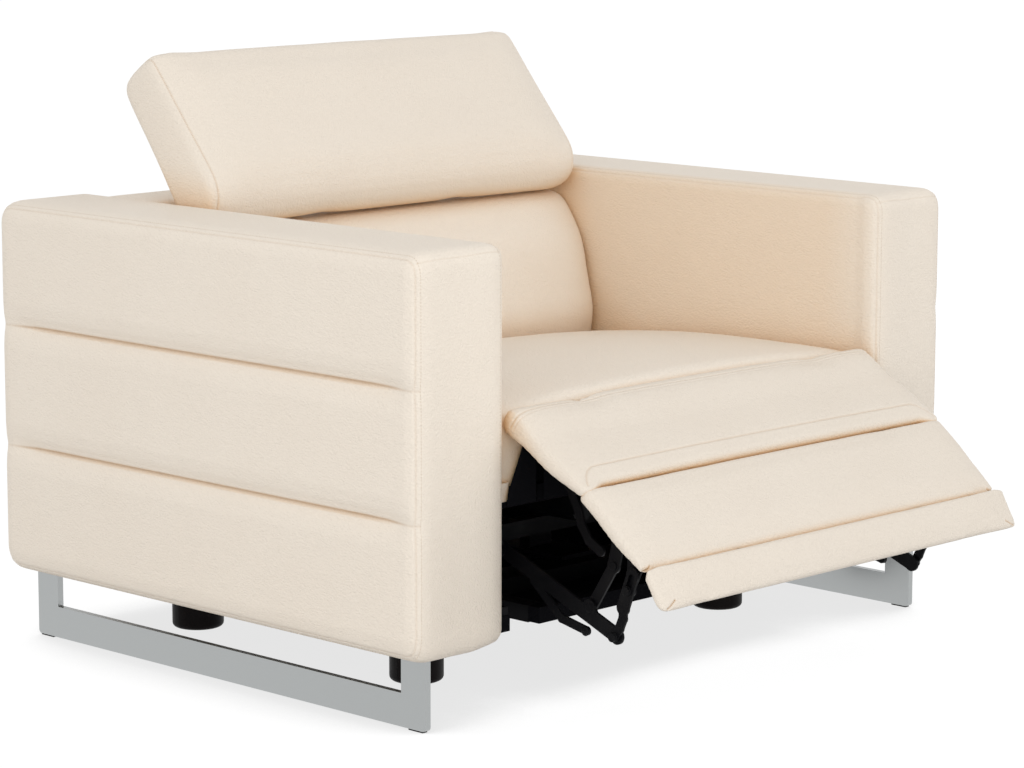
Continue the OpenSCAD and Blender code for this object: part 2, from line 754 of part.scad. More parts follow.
// Flap between the seat and the footrest
flap_half = flap_t / 2;
flap_end = [on_flap(flap_l - 1.5, 12), on_flap(flap_l - 6, -1)];
flap_outline = concat(
    [for (a = [-90 : 22.5 : 90]) on_flap(-flap_half * cos(a), flap_half * sin(a))],
    [for (t = [0.25, 0.5, 0.75]) on_flap(flap_l * t, flap_half + 1 - 2 * t * t)],
    corner_arc(on_flap(flap_l * 0.75, flap_half), flap_end[0], flap_end[1], 8, 4),
    corner_arc(flap_end[0], flap_end[1], on_flap(0, -flap_half), 5, 3)
);
module flap_pad() {
    place() color(leather) difference() {
        pillow(flap_outline, pad_w, 26, 5, 6, above(flap_slope));
        both_sides() side_plate_at(arm_x - 15, 30) polygon([
            on_flap(-flap_half - 8, -flap_half - 8), on_flap(13, -flap_half - 8), on_flap(13, 10),
            on_flap(-flap_half - 8, 10)
        ]);
    }
}
flap_board_t = 5;
function flap_under(s) = -flap_half + (flap_half - 1) * (s / (flap_l - 6));
module flap_board() {
    place() color(black_steel) {
        side_plate_at(-pad_w + 20, 2 * (pad_w - 20)) polygon([
            on_flap(24, flap_under(24)), on_flap(flap_l - 16, flap_under(flap_l - 16)),
            on_flap(flap_l - 16, flap_under(flap_l - 16) - flap_board_t),
            on_flap(24, flap_under(24) - flap_board_t)
        ]);
        both_sides() {
            for (x = [arm_x - 14, arm_x + 8]) side_plate_at(x, 6) {
                translate(flap_pivot) circle(8);
                path_bar_2d([flap_pivot, on_flap(4, -flap_half - 4), on_flap(36, -flap_half - 3)], 8);
            }
            cross_rod(flap_pivot, pin_d / 2, arm_x - 14, arm_x + 14);
            for (x = [crease_x - 12, crease_x + 6]) side_plate_at(x, 6) {
                translate(main_pivot) circle(4.8);
                path_bar_2d([main_pivot, on_flap(flap_l - 17, flap_under(flap_l - 17) - 4)], 6);
            }
            cross_rod(main_pivot, 2, crease_x - 12, crease_x + 12);
        }
    }
}
crease_x = arm_x;
// Curved stays that hang from the flap's board beside the upright links
stay_w = 15;
stay_x = link_x - 2 * layer;
function under_board(s, n) = on_flap(s, flap_under(s) - flap_board_t - n);
stay_path = [under_board(50, 20), [-58, deck + 160], [-64, deck + 140], [-78, deck + 120], [-100, deck + 108]];
module flap_stays() {
    place() color(black_steel) both_sides() {
        side_plate_at(stay_x, link_t) {
            path_bar_2d(stay_path, stay_w);
            polygon([under_board(36, 0), under_board(64, 0), stay_path[0] + [-7, -6], stay_path[0] + [7, 0]]);
        }
        side_plate_at(stay_x - 18, 18 + eps)
            polygon([under_board(34, 0), under_board(66, 0), under_board(66, 3), under_board(34, 3)]);
    }
}

// Main footrest pad, its board and the brackets that the front links ride on
main_outline = rounded([
    on_main(1, main_t - 1), on_main(0, 0), on_main(main_l, 0), on_main(main_l - 3, 7)
], [8, 9, 4, 3]);
toe_hinge_x = 200;
module main_pad() {
    place() color(leather) difference() {
        pillow(main_outline, pad_w, 30, 3, 6, above(main_slope));
        both_sides() side_plate_at(toe_hinge_x - 4, 8) polygon([
            on_main(main_l - 15, 3.2), on_main(main_l + 6, 3.2), on_main(main_l + 6, main_t),
            on_main(main_l - 15, main_t)
        ]);
        both_sides() cross_rod(main_pivot, 6.5, crease_x - 13, crease_x + 13);
    }
}
// The hair of room between a pad and its board
board_gap = 0.04;
function main_under(s) = main_t - 1 + board_gap + (8 - main_t) * (s - 1) / (main_l - 4);
main_board_t = 6;
module main_board() {
    place() color(black_steel) {
        side_plate_at(-pad_w + 24, 2 * (pad_w - 24)) polygon([
            on_main(16, main_under(16)), on_main(main_l - 18, main_under(main_l - 18)),
            on_main(main_l - 18, main_under(main_l - 18) + main_board_t),
            on_main(16, main_under(16) + main_board_t)
        ]);
        both_sides() {
            side_plate_at(toe_hinge_x - 3, 6) {
                path_bar_2d([toe_pivot, on_main(main_l - 10, 15), on_main(main_l - 40, main_under(main_l - 40) + 9)], 8);
            }
            cross_rod(toe_pivot, 2.5, toe_hinge_x - 9, toe_hinge_x + 9);
            side_plate_at(crease_x - 5, 10) difference() {
                union() {
                    translate(main_pivot) circle(4.8);
                    path_bar_2d([main_pivot, on_main(0, main_t + 3), on_main(26, main_t + 3)], 6);
                }
                translate(main_pivot) circle(r = 2 + pin_gap);
            }
        }
    }
}
function below_board(s, n) = on_main(s, main_under(s) + main_board_t + n);
bracket_front = below_board(100, 6.1);
bracket_back = below_board(40, 6.1);
module main_brackets() {
    place() color(black_steel) both_sides() {
        side_plate_at(link_x, link_t) {
            bar_2d(bracket_front, slot_pivot, 12);
            bar_2d(below_board(64, 6.1), slot_pivot, 12);
            bar_2d(bracket_back, bracket_front, 12);
            translate(slot_pivot) circle(9);
        }
        side_plate_at(link_x - 16, 16 + eps)
            polygon([below_board(40, 0), below_board(100, 0), below_board(100, 3), below_board(40, 3)]);
        cross_rod(slot_pivot, slot_w / 2 - 2.4, link_x + link_t - eps, link_x + layer + link_t + 0.6);
        translate([link_x + layer + link_t + rub_gap, slot_pivot[0], slot_pivot[1]])
            rotate([0, 90, 0]) rivet_head();
    }
}

// Toe pad and its board
toe_outline = rounded([
    on_toe(9, toe_t - 3), on_toe(-3, 7), on_toe(-3, 0), on_toe(toe_l, 0), on_toe(toe_l - 8, toe_t - 5)
], [4, 2.5, 4, 7, 8]);
module toe_pad() {
    place() color(leather) difference() {
        pillow(toe_outline, pad_w, 26, 3, 5, above(toe_slope));
        both_sides() side_plate_at(toe_hinge_x - 11, 22) polygon([
            on_toe(-8, 8.4), on_toe(15, 8.4), on_toe(15, toe_t + 4), on_toe(-8, toe_t + 4)
        ]);
    }
}
toe_board_t = 4;
function toe_under(s) = toe_t - 3 + board_gap - 2 * (s - 9) / (toe_l - 17);
module toe_board() {
    place() color(black_steel) {
        side_plate_at(-pad_w + 24, 2 * (pad_w - 24)) polygon([
            on_toe(15, toe_under(15)), on_toe(toe_l - 17, toe_under(toe_l - 17)),
            on_toe(toe_l - 17, toe_under(toe_l - 17) + toe_board_t), on_toe(15, toe_under(15) + toe_board_t)
        ]);
        both_sides() for (x = [toe_hinge_x - 8, toe_hinge_x + 4]) side_plate_at(x, 4) {
            difference() {
                union() {
                    translate(toe_pivot) circle(4.8);
                    path_bar_2d([toe_pivot, on_toe(13, toe_under(13) + 4.5), on_toe(24, toe_under(24) + 3.2)], 6);
                }
                translate(toe_pivot) circle(r = 2.5 + pin_gap);
            }
        }
    }
}

// Back: a wooden frame with the cushion before it and the padded shell behind
back_plate_x = plate_x + link_t + link_gap;
rib_x = back_plate_x + link_t;
module back_frame() {
    shell_y = arm_d - shell_t - 4 - rub_gap;
    top_z = rim_z - shell_t - rub_gap;
    place() color(wood) difference() {
        union() {
        both_sides() side_plate_at(rib_x, board_t) polygon([
            [back_rear(back_foot[1]) + strap_gap, back_foot[1]], [shell_y, shell_low + 12],
            [shell_y, top_z], [back_rear(top_z) + strap_gap, top_z]
        ]);
        for (z = [shell_low + 20, top_z - 60])
            block(-rib_x, rib_x, shell_y - board_t, shell_y, z, z + 60);
        block(-rib_x, rib_x, back_rear(cushion_z + 80) + strap_gap, back_rear(cushion_z + 80) + strap_gap + board_t,
            cushion_z + 30, cushion_z + 80);
        block(-rib_x, rib_x, top_rail_y, top_rail_y + board_t, back_top_z - 60, back_top_z - 10);
        }
        both_sides() {
            side_plate_at(back_plate_x - 0.2, link_t + 0.2) bracket_shape();
            cross_rod(guide_pin, guide_pin_r + pin_gap, rib_x - 1, rib_x + board_t + 1);
        }
    }
}
back_strap_low = 24;
back_strap_pitch = (back_top_z - cushion_z) * 0.275;
module back_webbing() {
    place() color(black_plastic) for (k = [0 : 2]) let (z = cushion_z + back_strap_low + k * back_strap_pitch)
        side_plate_at(-rib_x - board_t, 2 * (rib_x + board_t)) polygon([
            [back_rear(z) + 0.3, z], [back_rear(z) + strap_gap, z],
            [back_rear(z + strap_w) + strap_gap, z + strap_w], [back_rear(z + strap_w) + 0.3, z + strap_w]
        ]);
}
strap_gap = strap_t + 0.3;
top_rail_y = back_rear(back_top_z - 10) + strap_gap;
back_bulge = 70;
back_knee = 190;
back_heel = 229;
back_outline = rounded([
    [back_face(cushion_z) - 40, cushion_z + 8], [back_rear(cushion_z), cushion_z + 2],
    [back_rear(back_top_z), back_top_z], [back_face(back_top_z) - back_t * 0.64, back_top_z - 1],
    [back_face(back_top_z - back_bulge) - back_t * 0.9, back_top_z - back_bulge],
    [back_face(back_top_z - back_knee) - back_t * 0.82, back_top_z - back_knee],
    [back_face(back_top_z - back_heel) - back_t * 0.66, back_top_z - back_heel]
], [20, 4, 12, 26, 34, 18, 18]);
module back_cushion() {
    place() color(leather) difference() {
        pillow(back_outline, seat_w - 2, 44, 10, back_crown, [-cos(back_slope), sin(back_slope)]);
        both_sides() block(head_arm_x - head_arm_t / 2 - 1, head_arm_x + head_arm_t / 2 + 1,
            top_rail_y - 36, top_rail_y + 20, back_top_z - 62, back_top_z + 20);
    }
}
shell_outline = rounded([
    [arm_d - shell_t - 4, shell_low], [arm_d - 4, shell_low], [arm_d - 4, rim_z], [rim_front, rim_z],
    [rim_front, rim_z - shell_t], [arm_d - shell_t - 4, rim_z - shell_t]
], [4, 8, 30, 22, 4, 0.5]);
module rear_shell() {
    place() color(leather) pillow(shell_outline, seat_w - 2, 30, 3, 0, [1, 0]);
}
module bracket_shape() {
    bar_2d(back_pivot, back_pivot + [30, 90], 48);
    bar_2d(back_pivot + [30, 90], guide_pin, 36);
}
module back_brackets() {
    place() color(black_steel) both_sides() {
        side_plate_at(back_plate_x, link_t) difference() {
            bracket_shape();
            translate(back_pivot) circle(d = pin_d + 4 + 2 * pin_gap);
        }
        cross_rod(guide_pin, guide_pin_r, rib_x - eps, in_w - 0.5);
    }
}
// Slotted guides on the arms' inner faces, in which the back's pins stay as the seat glides
guide_travel = 36;
guide_pin_r = 5;
guide_t = 4.5;
module back_guides() {
    place() color(black_steel) both_sides() side_plate_at(in_w - guide_t, guide_t) difference() {
        translate([guide_pin[0] - 20, guide_pin[1] - guide_travel - 20]) square([40, guide_travel + 40]);
        bar_2d(guide_pin, guide_pin - [0, guide_travel], 2 * guide_pin_r + 5);
    }
}

// Headrest on a pair of ratchet arms
head_arm_x = 150;
head_arm_t = 8;
head_foot = [top_rail_y - 8, back_top_z - 10];
module headrest_arms() {
    place() color(black_steel) both_sides() {
        side_plate_at(head_arm_x - head_arm_t / 2, head_arm_t) difference() {
            union() {
                bar_2d(head_pivot, head_foot, 16);
                translate(head_pivot) circle(16);
                bar_2d(head_foot, head_foot - [0, 40], 16);
            }
            translate(head_pivot) circle(d = pin_d + 2 * pin_gap);
        }
    }
}
head_outline = concat(
    [for (a = [0 : 18 : 180]) on_head(-head_roll_r * sin(a), head_roll_r * cos(a))],
    corner_arc(on_head(0, -head_roll_r), on_head(head_l + 2, -head_t / 2 + 2), on_head(head_l, head_t / 2), 30, 5),
    corner_arc(on_head(head_l + 2, -head_t / 2 + 2), on_head(head_l, head_t / 2), on_head(0, head_roll_r), 16, 4)
);
module headrest_cushion() {
    place() color(leather) difference() {
        pillow(head_outline, seat_w - head_side_gap, 50, 12, 8, [-cos(head_slope), sin(head_slope)]);
        both_sides() side_plate_at(head_arm_x - 16, 32) {
            translate(head_pivot) circle(20);
            bar_2d(head_pivot, on_head(42, 0), 16);
            polygon(concat([head_pivot], [for (a = [-100 : 20 : 20]) head_pivot + 90 * [cos(a), sin(a)]]));
        }
        head_board_shape();
    }
}
module head_board_shape() {
    side_plate_at(-seat_w + 70, 2 * (seat_w - 70)) polygon([
        on_head(40, -8), on_head(head_l - 40, -8), on_head(head_l - 40, 7), on_head(40, 7)
    ]);
}
module headrest_board() {
    place() color(wood) head_board_shape();
    place() color(black_steel) both_sides() {
        for (x = [head_arm_x - 12, head_arm_x + 6]) side_plate_at(x, 6)
            bar_2d(head_pivot, on_head(42, 0), 14);
        cross_rod(head_pivot, pin_d / 2, head_arm_x - 12, head_arm_x + 12);
    }
}

left_arm_cover();
right_arm_cover();
left_arm_frame();
right_arm_frame();
left_sled_leg();
right_sled_leg();
sled_glide_pads();
sled_screws();
round_feet();
front_rail();
base_rails();
dust_cover();
roller_tracks();
rear_valance();
glide_motor();
back_guides();
power_inlet();
switch_panel();
open_button();
close_button();
seat_frame();
seat_webbing();
seat_cushion();
seat_front_cloth();
seat_cheeks();
side_plates();
cross_tube();
glide_rod();
flap_hinge_arms();
footrest_motor();
front_rollers();
rear_rollers();
back_frame();
back_webbing();
back_cushion();
rear_shell();
back_brackets();
headrest_arms();
headrest_cushion();
headrest_board();
flap_pad();
flap_board();
flap_stays();
main_pad();
main_board();
main_brackets();
toe_pad();
toe_board();
drive_tube();
long_links();
front_links();
upright_links();
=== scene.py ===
# %% [markdown]
# # A wall hugger recliner
#
# A wide chair in cream leather, standing part open. Each arm is a plywood box under foam and leather,
# held up by a bent chrome bar in front of round black feet. The seat slides forward on rollers, the back
# leans as it slides, the headrest tilts, and black steel links unfold a footrest in three boards.
#
# The boards, links, motors and legs come with the construction, each in its place, and only get their
# finish here. The soft parts come as plain foam blocks: this file stuffs them, sews them and covers them
# in leather.

# %% Load the frame
import json
import math

import bpy
import numpy as np
from mathutils import Matrix, Vector, bvhtree, kdtree


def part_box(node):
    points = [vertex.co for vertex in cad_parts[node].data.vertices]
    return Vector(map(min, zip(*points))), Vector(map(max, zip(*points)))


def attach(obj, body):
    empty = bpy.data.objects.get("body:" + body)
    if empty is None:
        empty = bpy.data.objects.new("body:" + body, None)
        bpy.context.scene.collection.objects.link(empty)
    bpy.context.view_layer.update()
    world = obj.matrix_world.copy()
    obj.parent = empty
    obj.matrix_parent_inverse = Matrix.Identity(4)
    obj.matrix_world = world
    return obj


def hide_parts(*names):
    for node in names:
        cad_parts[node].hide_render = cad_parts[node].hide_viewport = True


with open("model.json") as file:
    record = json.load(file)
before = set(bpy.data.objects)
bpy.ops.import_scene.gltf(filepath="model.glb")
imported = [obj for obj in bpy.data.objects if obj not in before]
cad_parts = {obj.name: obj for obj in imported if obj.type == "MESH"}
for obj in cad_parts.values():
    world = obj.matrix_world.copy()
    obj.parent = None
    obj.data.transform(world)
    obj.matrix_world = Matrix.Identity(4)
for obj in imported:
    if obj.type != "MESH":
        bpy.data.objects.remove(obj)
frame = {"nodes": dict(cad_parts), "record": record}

scene = bpy.context.scene
nodes = frame["nodes"]
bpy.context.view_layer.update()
MM = 0.001
FRONT = 0.302176  # the arms' front lies this far in front of the frame's origin

# %% [markdown]
# ## The camera
#
# The picture was taken from the chair's left front corner, a little above the arms, with a long lens, so
# that upright edges stay nearly upright. A camera looks along its own -Z axis, so its turn is built from
# the three angles in the order in which a tripod head is set: swing, tilt, then a touch of roll. A Track
# To constraint could aim it as well, but has no place for the roll.

# %% Camera
CAMERA_PLACE = Vector((-3.8482, -3.6468, 1.2705))
CAMERA_SWING, CAMERA_TILT, CAMERA_ROLL = -45.925, 9.420, 0.09
CAMERA_LENS, CAMERA_SENSOR = 124.30, 36

camera_data = bpy.data.cameras.new("camera")
camera_data.lens = CAMERA_LENS
camera_data.sensor_width = CAMERA_SENSOR
camera = bpy.data.objects.new("camera", camera_data)
scene.collection.objects.link(camera)
turn = (
    Matrix.Rotation(math.radians(CAMERA_SWING), 3, "Z")
    @ Matrix.Rotation(math.radians(90 - CAMERA_TILT), 3, "X")
    @ Matrix.Rotation(math.radians(CAMERA_ROLL), 3, "Z")
)
camera.matrix_world = Matrix.Translation(CAMERA_PLACE) @ turn.to_4x4()
scene.camera = camera
print(f"camera {CAMERA_PLACE.length:.1f} m from the chair")

# %% [markdown]
# ## Working on one piece at a time
#
# Blender's operators act on everything that is selected, and a freshly loaded construction is selected as
# a whole. Each step therefore starts by letting go of everything and taking hold of one piece. Modifiers
# are applied at once, so that the next step works on the true mesh.

# %% Hold one piece, change it, keep the change
def hold(piece):
    """Deselects everything, then makes this piece the only selected and active one."""
    if bpy.context.object and bpy.context.object.mode != "OBJECT":
        bpy.ops.object.mode_set(mode="OBJECT")
    bpy.ops.object.select_all(action="DESELECT")
    piece.select_set(True)
    bpy.context.view_layer.objects.active = piece


def change(piece, kind, **settings):
    """Adds a modifier with these settings and applies it."""
    hold(piece)
    modifier = piece.modifiers.new(kind.title(), kind)
    for name, value in settings.items():
        setattr(modifier, name, value)
    bpy.ops.object.modifier_apply(modifier=modifier.name)


def edit_mesh(piece, *steps):
    """Selects the whole mesh in edit mode and runs these operators on it, each with its settings."""
    hold(piece)
    bpy.ops.object.mode_set(mode="EDIT")
    bpy.ops.mesh.select_all(action="SELECT")
    for operator, settings in steps:
        operator(**settings)
    bpy.ops.object.mode_set(mode="OBJECT")


def points_of(piece):
    """The piece's points as an array of rows."""
    flat = np.empty(len(piece.data.vertices) * 3)
    piece.data.vertices.foreach_get("co", flat)
    return flat.reshape(-1, 3)


def move_points(piece, places):
    """Puts the piece's points at these places."""
    piece.data.vertices.foreach_set("co", places.ravel())
    piece.data.update()


def normals_of(piece):
    """The direction in which the surface faces at each point."""
    flat = np.empty(len(piece.data.vertices) * 3)
    piece.data.vertices.foreach_get("normal", flat)
    return flat.reshape(-1, 3)


def smooth_step(t):
    """Rises from 0 to 1 without a corner at either end."""
    t = np.clip(t, 0, 1)
    return t * t * (3 - 2 * t)


# %% [markdown]
# ## Shader groups
#
# Leather, cloth and powder coat each have a texture that more than one material uses. A node group holds
# such a texture once, with named inputs for its size. Each material then places the group and feeds its
# height to a Bump node, or its mask to a colour. The nodes could be copied into each material instead,
# but then every change to the grain would have to be made once for each hide.

# %% Helpers for shader groups and materials
def new_group(name, inputs, outputs):
    """A shader group with float inputs (name and default) and float outputs."""
    group = bpy.data.node_groups.new(name, "ShaderNodeTree")
    for title, default in inputs.items():
        socket = group.interface.new_socket(title, in_out="INPUT", socket_type="NodeSocketFloat")
        socket.default_value = default
    group.interface.new_socket("Vector", in_out="INPUT", socket_type="NodeSocketVector")
    for title in outputs:
        group.interface.new_socket(title, in_out="OUTPUT", socket_type="NodeSocketFloat")
    return group, group.nodes.new("NodeGroupInput"), group.nodes.new("NodeGroupOutput")


def feed(tree, socket, value):
    """Sets a socket to a number or a colour, or links another socket to it."""
    if isinstance(value, (int, float)):
        socket.default_value = value
    elif isinstance(value, tuple):
        socket.default_value = (*value, 1)
    else:
        tree.links.new(value, socket)


def math_node(tree, operation, a, b=None):
    """A Math node fed by sockets or numbers."""
    node = tree.nodes.new("ShaderNodeMath")
    node.operation = operation
    for socket, value in zip(node.inputs, (a, b)):
        if value is not None:
            feed(tree, socket, value)
    return node.outputs[0]


def noise(tree, vector, scale, detail=2.0, roughness=0.5):
    """A Noise texture; its scale is a number or a socket."""
    node = tree.nodes.new("ShaderNodeTexNoise")
    node.inputs["Detail"].default_value = detail
    node.inputs["Roughness"].default_value = roughness
    feed(tree, node.inputs["Scale"], scale)
    tree.links.new(vector, node.inputs["Vector"])
    return node.outputs[0]


# %% [markdown]
# Leather's grain is a net of small pebbles, drawn out a little along the hide, with finer pores in
# between. Smooth Voronoi cells give the pebbles. Stretching their vector makes them lie aslant, and a
# noise added to the vector keeps the net from looking printed. A picture of leather could give the grain
# too, but it would repeat across a wide arm, and each cover would have to be unwrapped for it.

# %% The leather grain group
grain_group, grain_in, grain_out = new_group("leather grain", {"Cells": 420.0}, ["Height", "Mottle"])
lean = grain_group.nodes.new("ShaderNodeMapping")
lean.inputs["Rotation"].default_value = (0.6, 0.75, 0.4)
lean.inputs["Scale"].default_value = (1.0, 0.55, 1.0)
grain_group.links.new(grain_in.outputs["Vector"], lean.inputs["Vector"])
wander = grain_group.nodes.new("ShaderNodeTexNoise")
wander.inputs["Scale"].default_value = 90
grain_group.links.new(lean.outputs[0], wander.inputs["Vector"])
bent = grain_group.nodes.new("ShaderNodeVectorMath")
bent.operation = "MULTIPLY_ADD"
grain_group.links.new(wander.outputs["Color"], bent.inputs[0])
bent.inputs[1].default_value = (0.004, 0.004, 0.004)
grain_group.links.new(lean.outputs[0], bent.inputs[2])
cells = grain_group.nodes.new("ShaderNodeTexVoronoi")
cells.feature = "SMOOTH_F1"
grain_group.links.new(bent.outputs[0], cells.inputs["Vector"])
grain_group.links.new(grain_in.outputs["Cells"], cells.inputs["Scale"])
pores = noise(grain_group, bent.outputs[0], 1400, 2.0)
pebbles = math_node(grain_group, "SUBTRACT", 1.0, cells.outputs["Distance"])
height = math_node(grain_group, "ADD", pebbles, math_node(grain_group, "MULTIPLY", pores, 0.25))
grain_group.links.new(height, grain_out.inputs["Height"])
clouds = noise(grain_group, grain_in.outputs["Vector"], 7.0, 3.0)
specks = noise(grain_group, grain_in.outputs["Vector"], 160.0, 2.0)
mottle = math_node(grain_group, "ADD", math_node(grain_group, "MULTIPLY", clouds, 0.7),
                   math_node(grain_group, "MULTIPLY", specks, 0.3))
grain_group.links.new(mottle, grain_out.inputs["Mottle"])
print("group:", grain_group.name)

# %% [markdown]
# Powder coat has a faint orange peel, and so has moulded plastic, at another scale. One group serves
# both. Plain noise is enough for it, because these bumps have no pattern of their own.

# %% The orange peel group
peel_group, peel_in, peel_out = new_group("orange peel", {"Scale": 900.0}, ["Height", "Wear"])
fine = noise(peel_group, peel_in.outputs["Vector"], peel_in.outputs["Scale"], 1.5)
peel_group.links.new(fine, peel_out.inputs["Height"])
wear = noise(peel_group, peel_in.outputs["Vector"], 22.0, 4.0, 0.6)
peel_group.links.new(wear, peel_out.inputs["Wear"])
print("group:", peel_group.name)

# %% [markdown]
# Lining cloth and webbing are plain weaves: threads along two directions, each passing over and under the
# next. Three waves, one along each axis, are multiplied in pairs, so that the weave shows on any face.
# With its threads drawn as geometry the cloth would need millions of faces.

# %% The weave group
weave_group, weave_in, weave_out = new_group("plain weave", {"Threads": 3200.0}, ["Height"])
axes = weave_group.nodes.new("ShaderNodeSeparateXYZ")
weave_group.links.new(weave_in.outputs["Vector"], axes.inputs[0])
waves = []
for axis in range(3):
    along = math_node(weave_group, "MULTIPLY", axes.outputs[axis], weave_in.outputs["Threads"])
    waves.append(math_node(weave_group, "SINE", along))
crossings = math_node(weave_group, "MULTIPLY", waves[0], waves[1])
crossings = math_node(weave_group, "ADD", crossings, math_node(weave_group, "MULTIPLY", waves[1], waves[2]))
crossings = math_node(weave_group, "ADD", crossings, math_node(weave_group, "MULTIPLY", waves[0], waves[2]))
weave_group.links.new(crossings, weave_out.inputs["Height"])
print("group:", weave_group.name)


# %% [markdown]
# ## Materials
#
# Every material starts the same way: a Principled shader, Object coordinates, and a Bump node whose
# height comes from one of the groups. The coordinates are the piece's own place in metres. A size in a
# texture is then a real size, and nothing has to be unwrapped.

# %% Start a material
def new_material(name, colour, rough, metal=0.0):
    """A material with its shader, its Object coordinates and its tree."""
    material = bpy.data.materials.new(name)
    material.use_nodes = True
    tree = material.node_tree
    shader = tree.nodes["Principled BSDF"]
    for title, value in (("Base Color", colour), ("Roughness", rough), ("Metallic", metal)):
        feed(tree, shader.inputs[title], value)
    place = tree.nodes.new("ShaderNodeTexCoord").outputs["Object"]
    return material, tree, shader, place


def use_group(tree, group, place, **inputs):
    """Places a shader group in a material, on these coordinates."""
    node = tree.nodes.new("ShaderNodeGroup")
    node.node_tree = group
    tree.links.new(place, node.inputs["Vector"])
    for name, value in inputs.items():
        node.inputs[name].default_value = value
    return node


def bump(tree, shader, height, strength, depth):
    """Feeds a height to the shader's normal; depth is in metres."""
    node = tree.nodes.new("ShaderNodeBump")
    node.inputs["Strength"].default_value = strength
    node.inputs["Distance"].default_value = depth
    tree.links.new(height, node.inputs["Height"])
    tree.links.new(node.outputs["Normal"], shader.inputs["Normal"])


def mix_colour(tree, factor, a, b):
    """A colour between a and b; each is a socket or a colour."""
    node = tree.nodes.new("ShaderNodeMix")
    node.data_type = "RGBA"
    tree.links.new(factor, node.inputs["Factor"])
    for title, value in (("A", a), ("B", b)):
        feed(tree, [s for s in node.inputs if s.name == title and s.type == "RGBA"][0], value)
    return [s for s in node.outputs if s.type == "RGBA"][0]


def ranged(tree, value, low, high, to_low=0.0, to_high=1.0):
    """Maps a value from one range to another and stops it at the ends."""
    node = tree.nodes.new("ShaderNodeMapRange")
    tree.links.new(value, node.inputs["Value"])
    for title, number in (("From Min", low), ("From Max", high), ("To Min", to_low), ("To Max", to_high)):
        feed(tree, node.inputs[title], number)
    return node.outputs[0]


# %% [markdown]
# The leather is a soft, corrected hide: pale cream, nearly matt, with a fine grain. Deep in a seam or a
# channel the colour is painted brown as shade, standing in for light that has bounced off leather several
# times. The cover's own crease attribute says how deep a point lies, and so how much of that painted shade
# it gets. Where two cushions face each other the hollow between them gets a warm painted shade too, and
# Ambient Occlusion finds those places. The arms' inner sides get the same painted shade, fading out
# towards the front, and each piece's copy of the leather is painted a little paler or darker for the light
# and shade that falls on it.

# %% Leather
LEATHER = (0.87, 0.785, 0.68)
LEATHER_DARK = (0.858, 0.770, 0.664)
# The crease colour and the hollow colour are painted shade: brown deep in seams, warm in hollows and on the
# arms' inner sides. The reach and the two ranges below say where the painted shade falls.
LEATHER_CREASE_SHADE = (0.46, 0.25, 0.09)
LEATHER_HOLLOW_SHADE = (0.78, 0.50, 0.24)
HOLLOW_REACH = 0.10
ARM_INSIDE = (0.410, 0.432)
ARM_FRONT_FADE = (-0.305, -0.200)


def leather(name, shade, hollow_shade=0.8, between=0.0):
    """Cream leather; shade paints this piece's copy a little paler or darker, for the light and shade that
    falls on it. hollow_shade is how far its hollow places turn to a warm painted shade, and between is how
    strong that painted shade is on the arms' inner sides, warm as if lit by the facing arm."""
    pale = tuple(c * shade for c in LEATHER)
    dark = tuple(c * shade for c in LEATHER_DARK)
    material, tree, shader, place = new_material(name, pale, 0.52)
    grain = use_group(tree, grain_group, place)
    mottled = mix_colour(tree, ranged(tree, grain.outputs["Mottle"], 0.35, 0.65), dark, pale)
    # Painted shade: seams and channels turn brown by the cover's crease attribute.
    crease = tree.nodes.new("ShaderNodeAttribute")
    crease.attribute_name = "crease"
    # Painted shade: hollows turn warm where Ambient Occlusion finds leather close by.
    hollow = tree.nodes.new("ShaderNodeAmbientOcclusion")
    hollow.samples = 8
    hollow.inputs["Distance"].default_value = HOLLOW_REACH
    painted_shade = ranged(tree, hollow.outputs["AO"], 0.10, 0.82, hollow_shade, 0.0)
    # Painted shade: the arms' inner sides turn warm, as if lit by the facing arm, fading out towards the
    # front.
    if between:
        axes = tree.nodes.new("ShaderNodeSeparateXYZ")
        tree.links.new(place, axes.inputs[0])
        inner = ranged(tree, math_node(tree, "ABSOLUTE", axes.outputs["X"]), *ARM_INSIDE, between, 0.0)
        inner = math_node(tree, "MULTIPLY", inner, ranged(tree, axes.outputs["Y"], *ARM_FRONT_FADE))
        painted_shade = math_node(tree, "MAXIMUM", painted_shade, inner)
    shaded_colour = mix_colour(tree, painted_shade, mottled, LEATHER_HOLLOW_SHADE)
    deep = mix_colour(tree, crease.outputs["Fac"], shaded_colour, LEATHER_CREASE_SHADE)
    tree.links.new(deep, shader.inputs["Base Color"])
    rough = ranged(tree, grain.outputs["Height"], 0.2, 1.0, 0.60, 0.48)
    tree.links.new(rough, shader.inputs["Roughness"])
    shader.inputs["Specular IOR Level"].default_value = 0.35
    bump(tree, shader, grain.outputs["Height"], 0.55, 0.0018)
    return material


# The number after each name paints that piece's copy of the leather a little paler or darker, for the light
# and shade that falls on it.
arm_hide = leather("arm leather", 0.995, between=0.27)
seat_hide = leather("seat leather", 1.02)
back_hide = leather("back leather", 1.02, hollow_shade=0.35)
headrest_hide = leather("headrest leather", 0.968, hollow_shade=0.95)
footrest_hide = leather("footrest leather", 0.945, hollow_shade=0.9)
print("five leather hides")


# %% [markdown]
# The sled legs are chrome with a satin brush: a dark grey metal that mirrors softly. Fine scratches run
# along the bar, so the noise is squeezed across it. A painted reflection in its colour makes the bar a
# little paler towards the back, as if it mirrored a room that is paler behind the chair. An anisotropic
# shader would draw the highlights out across the brushing, but it needs tangents, and from a few metres away
# a slightly uneven roughness looks the same.

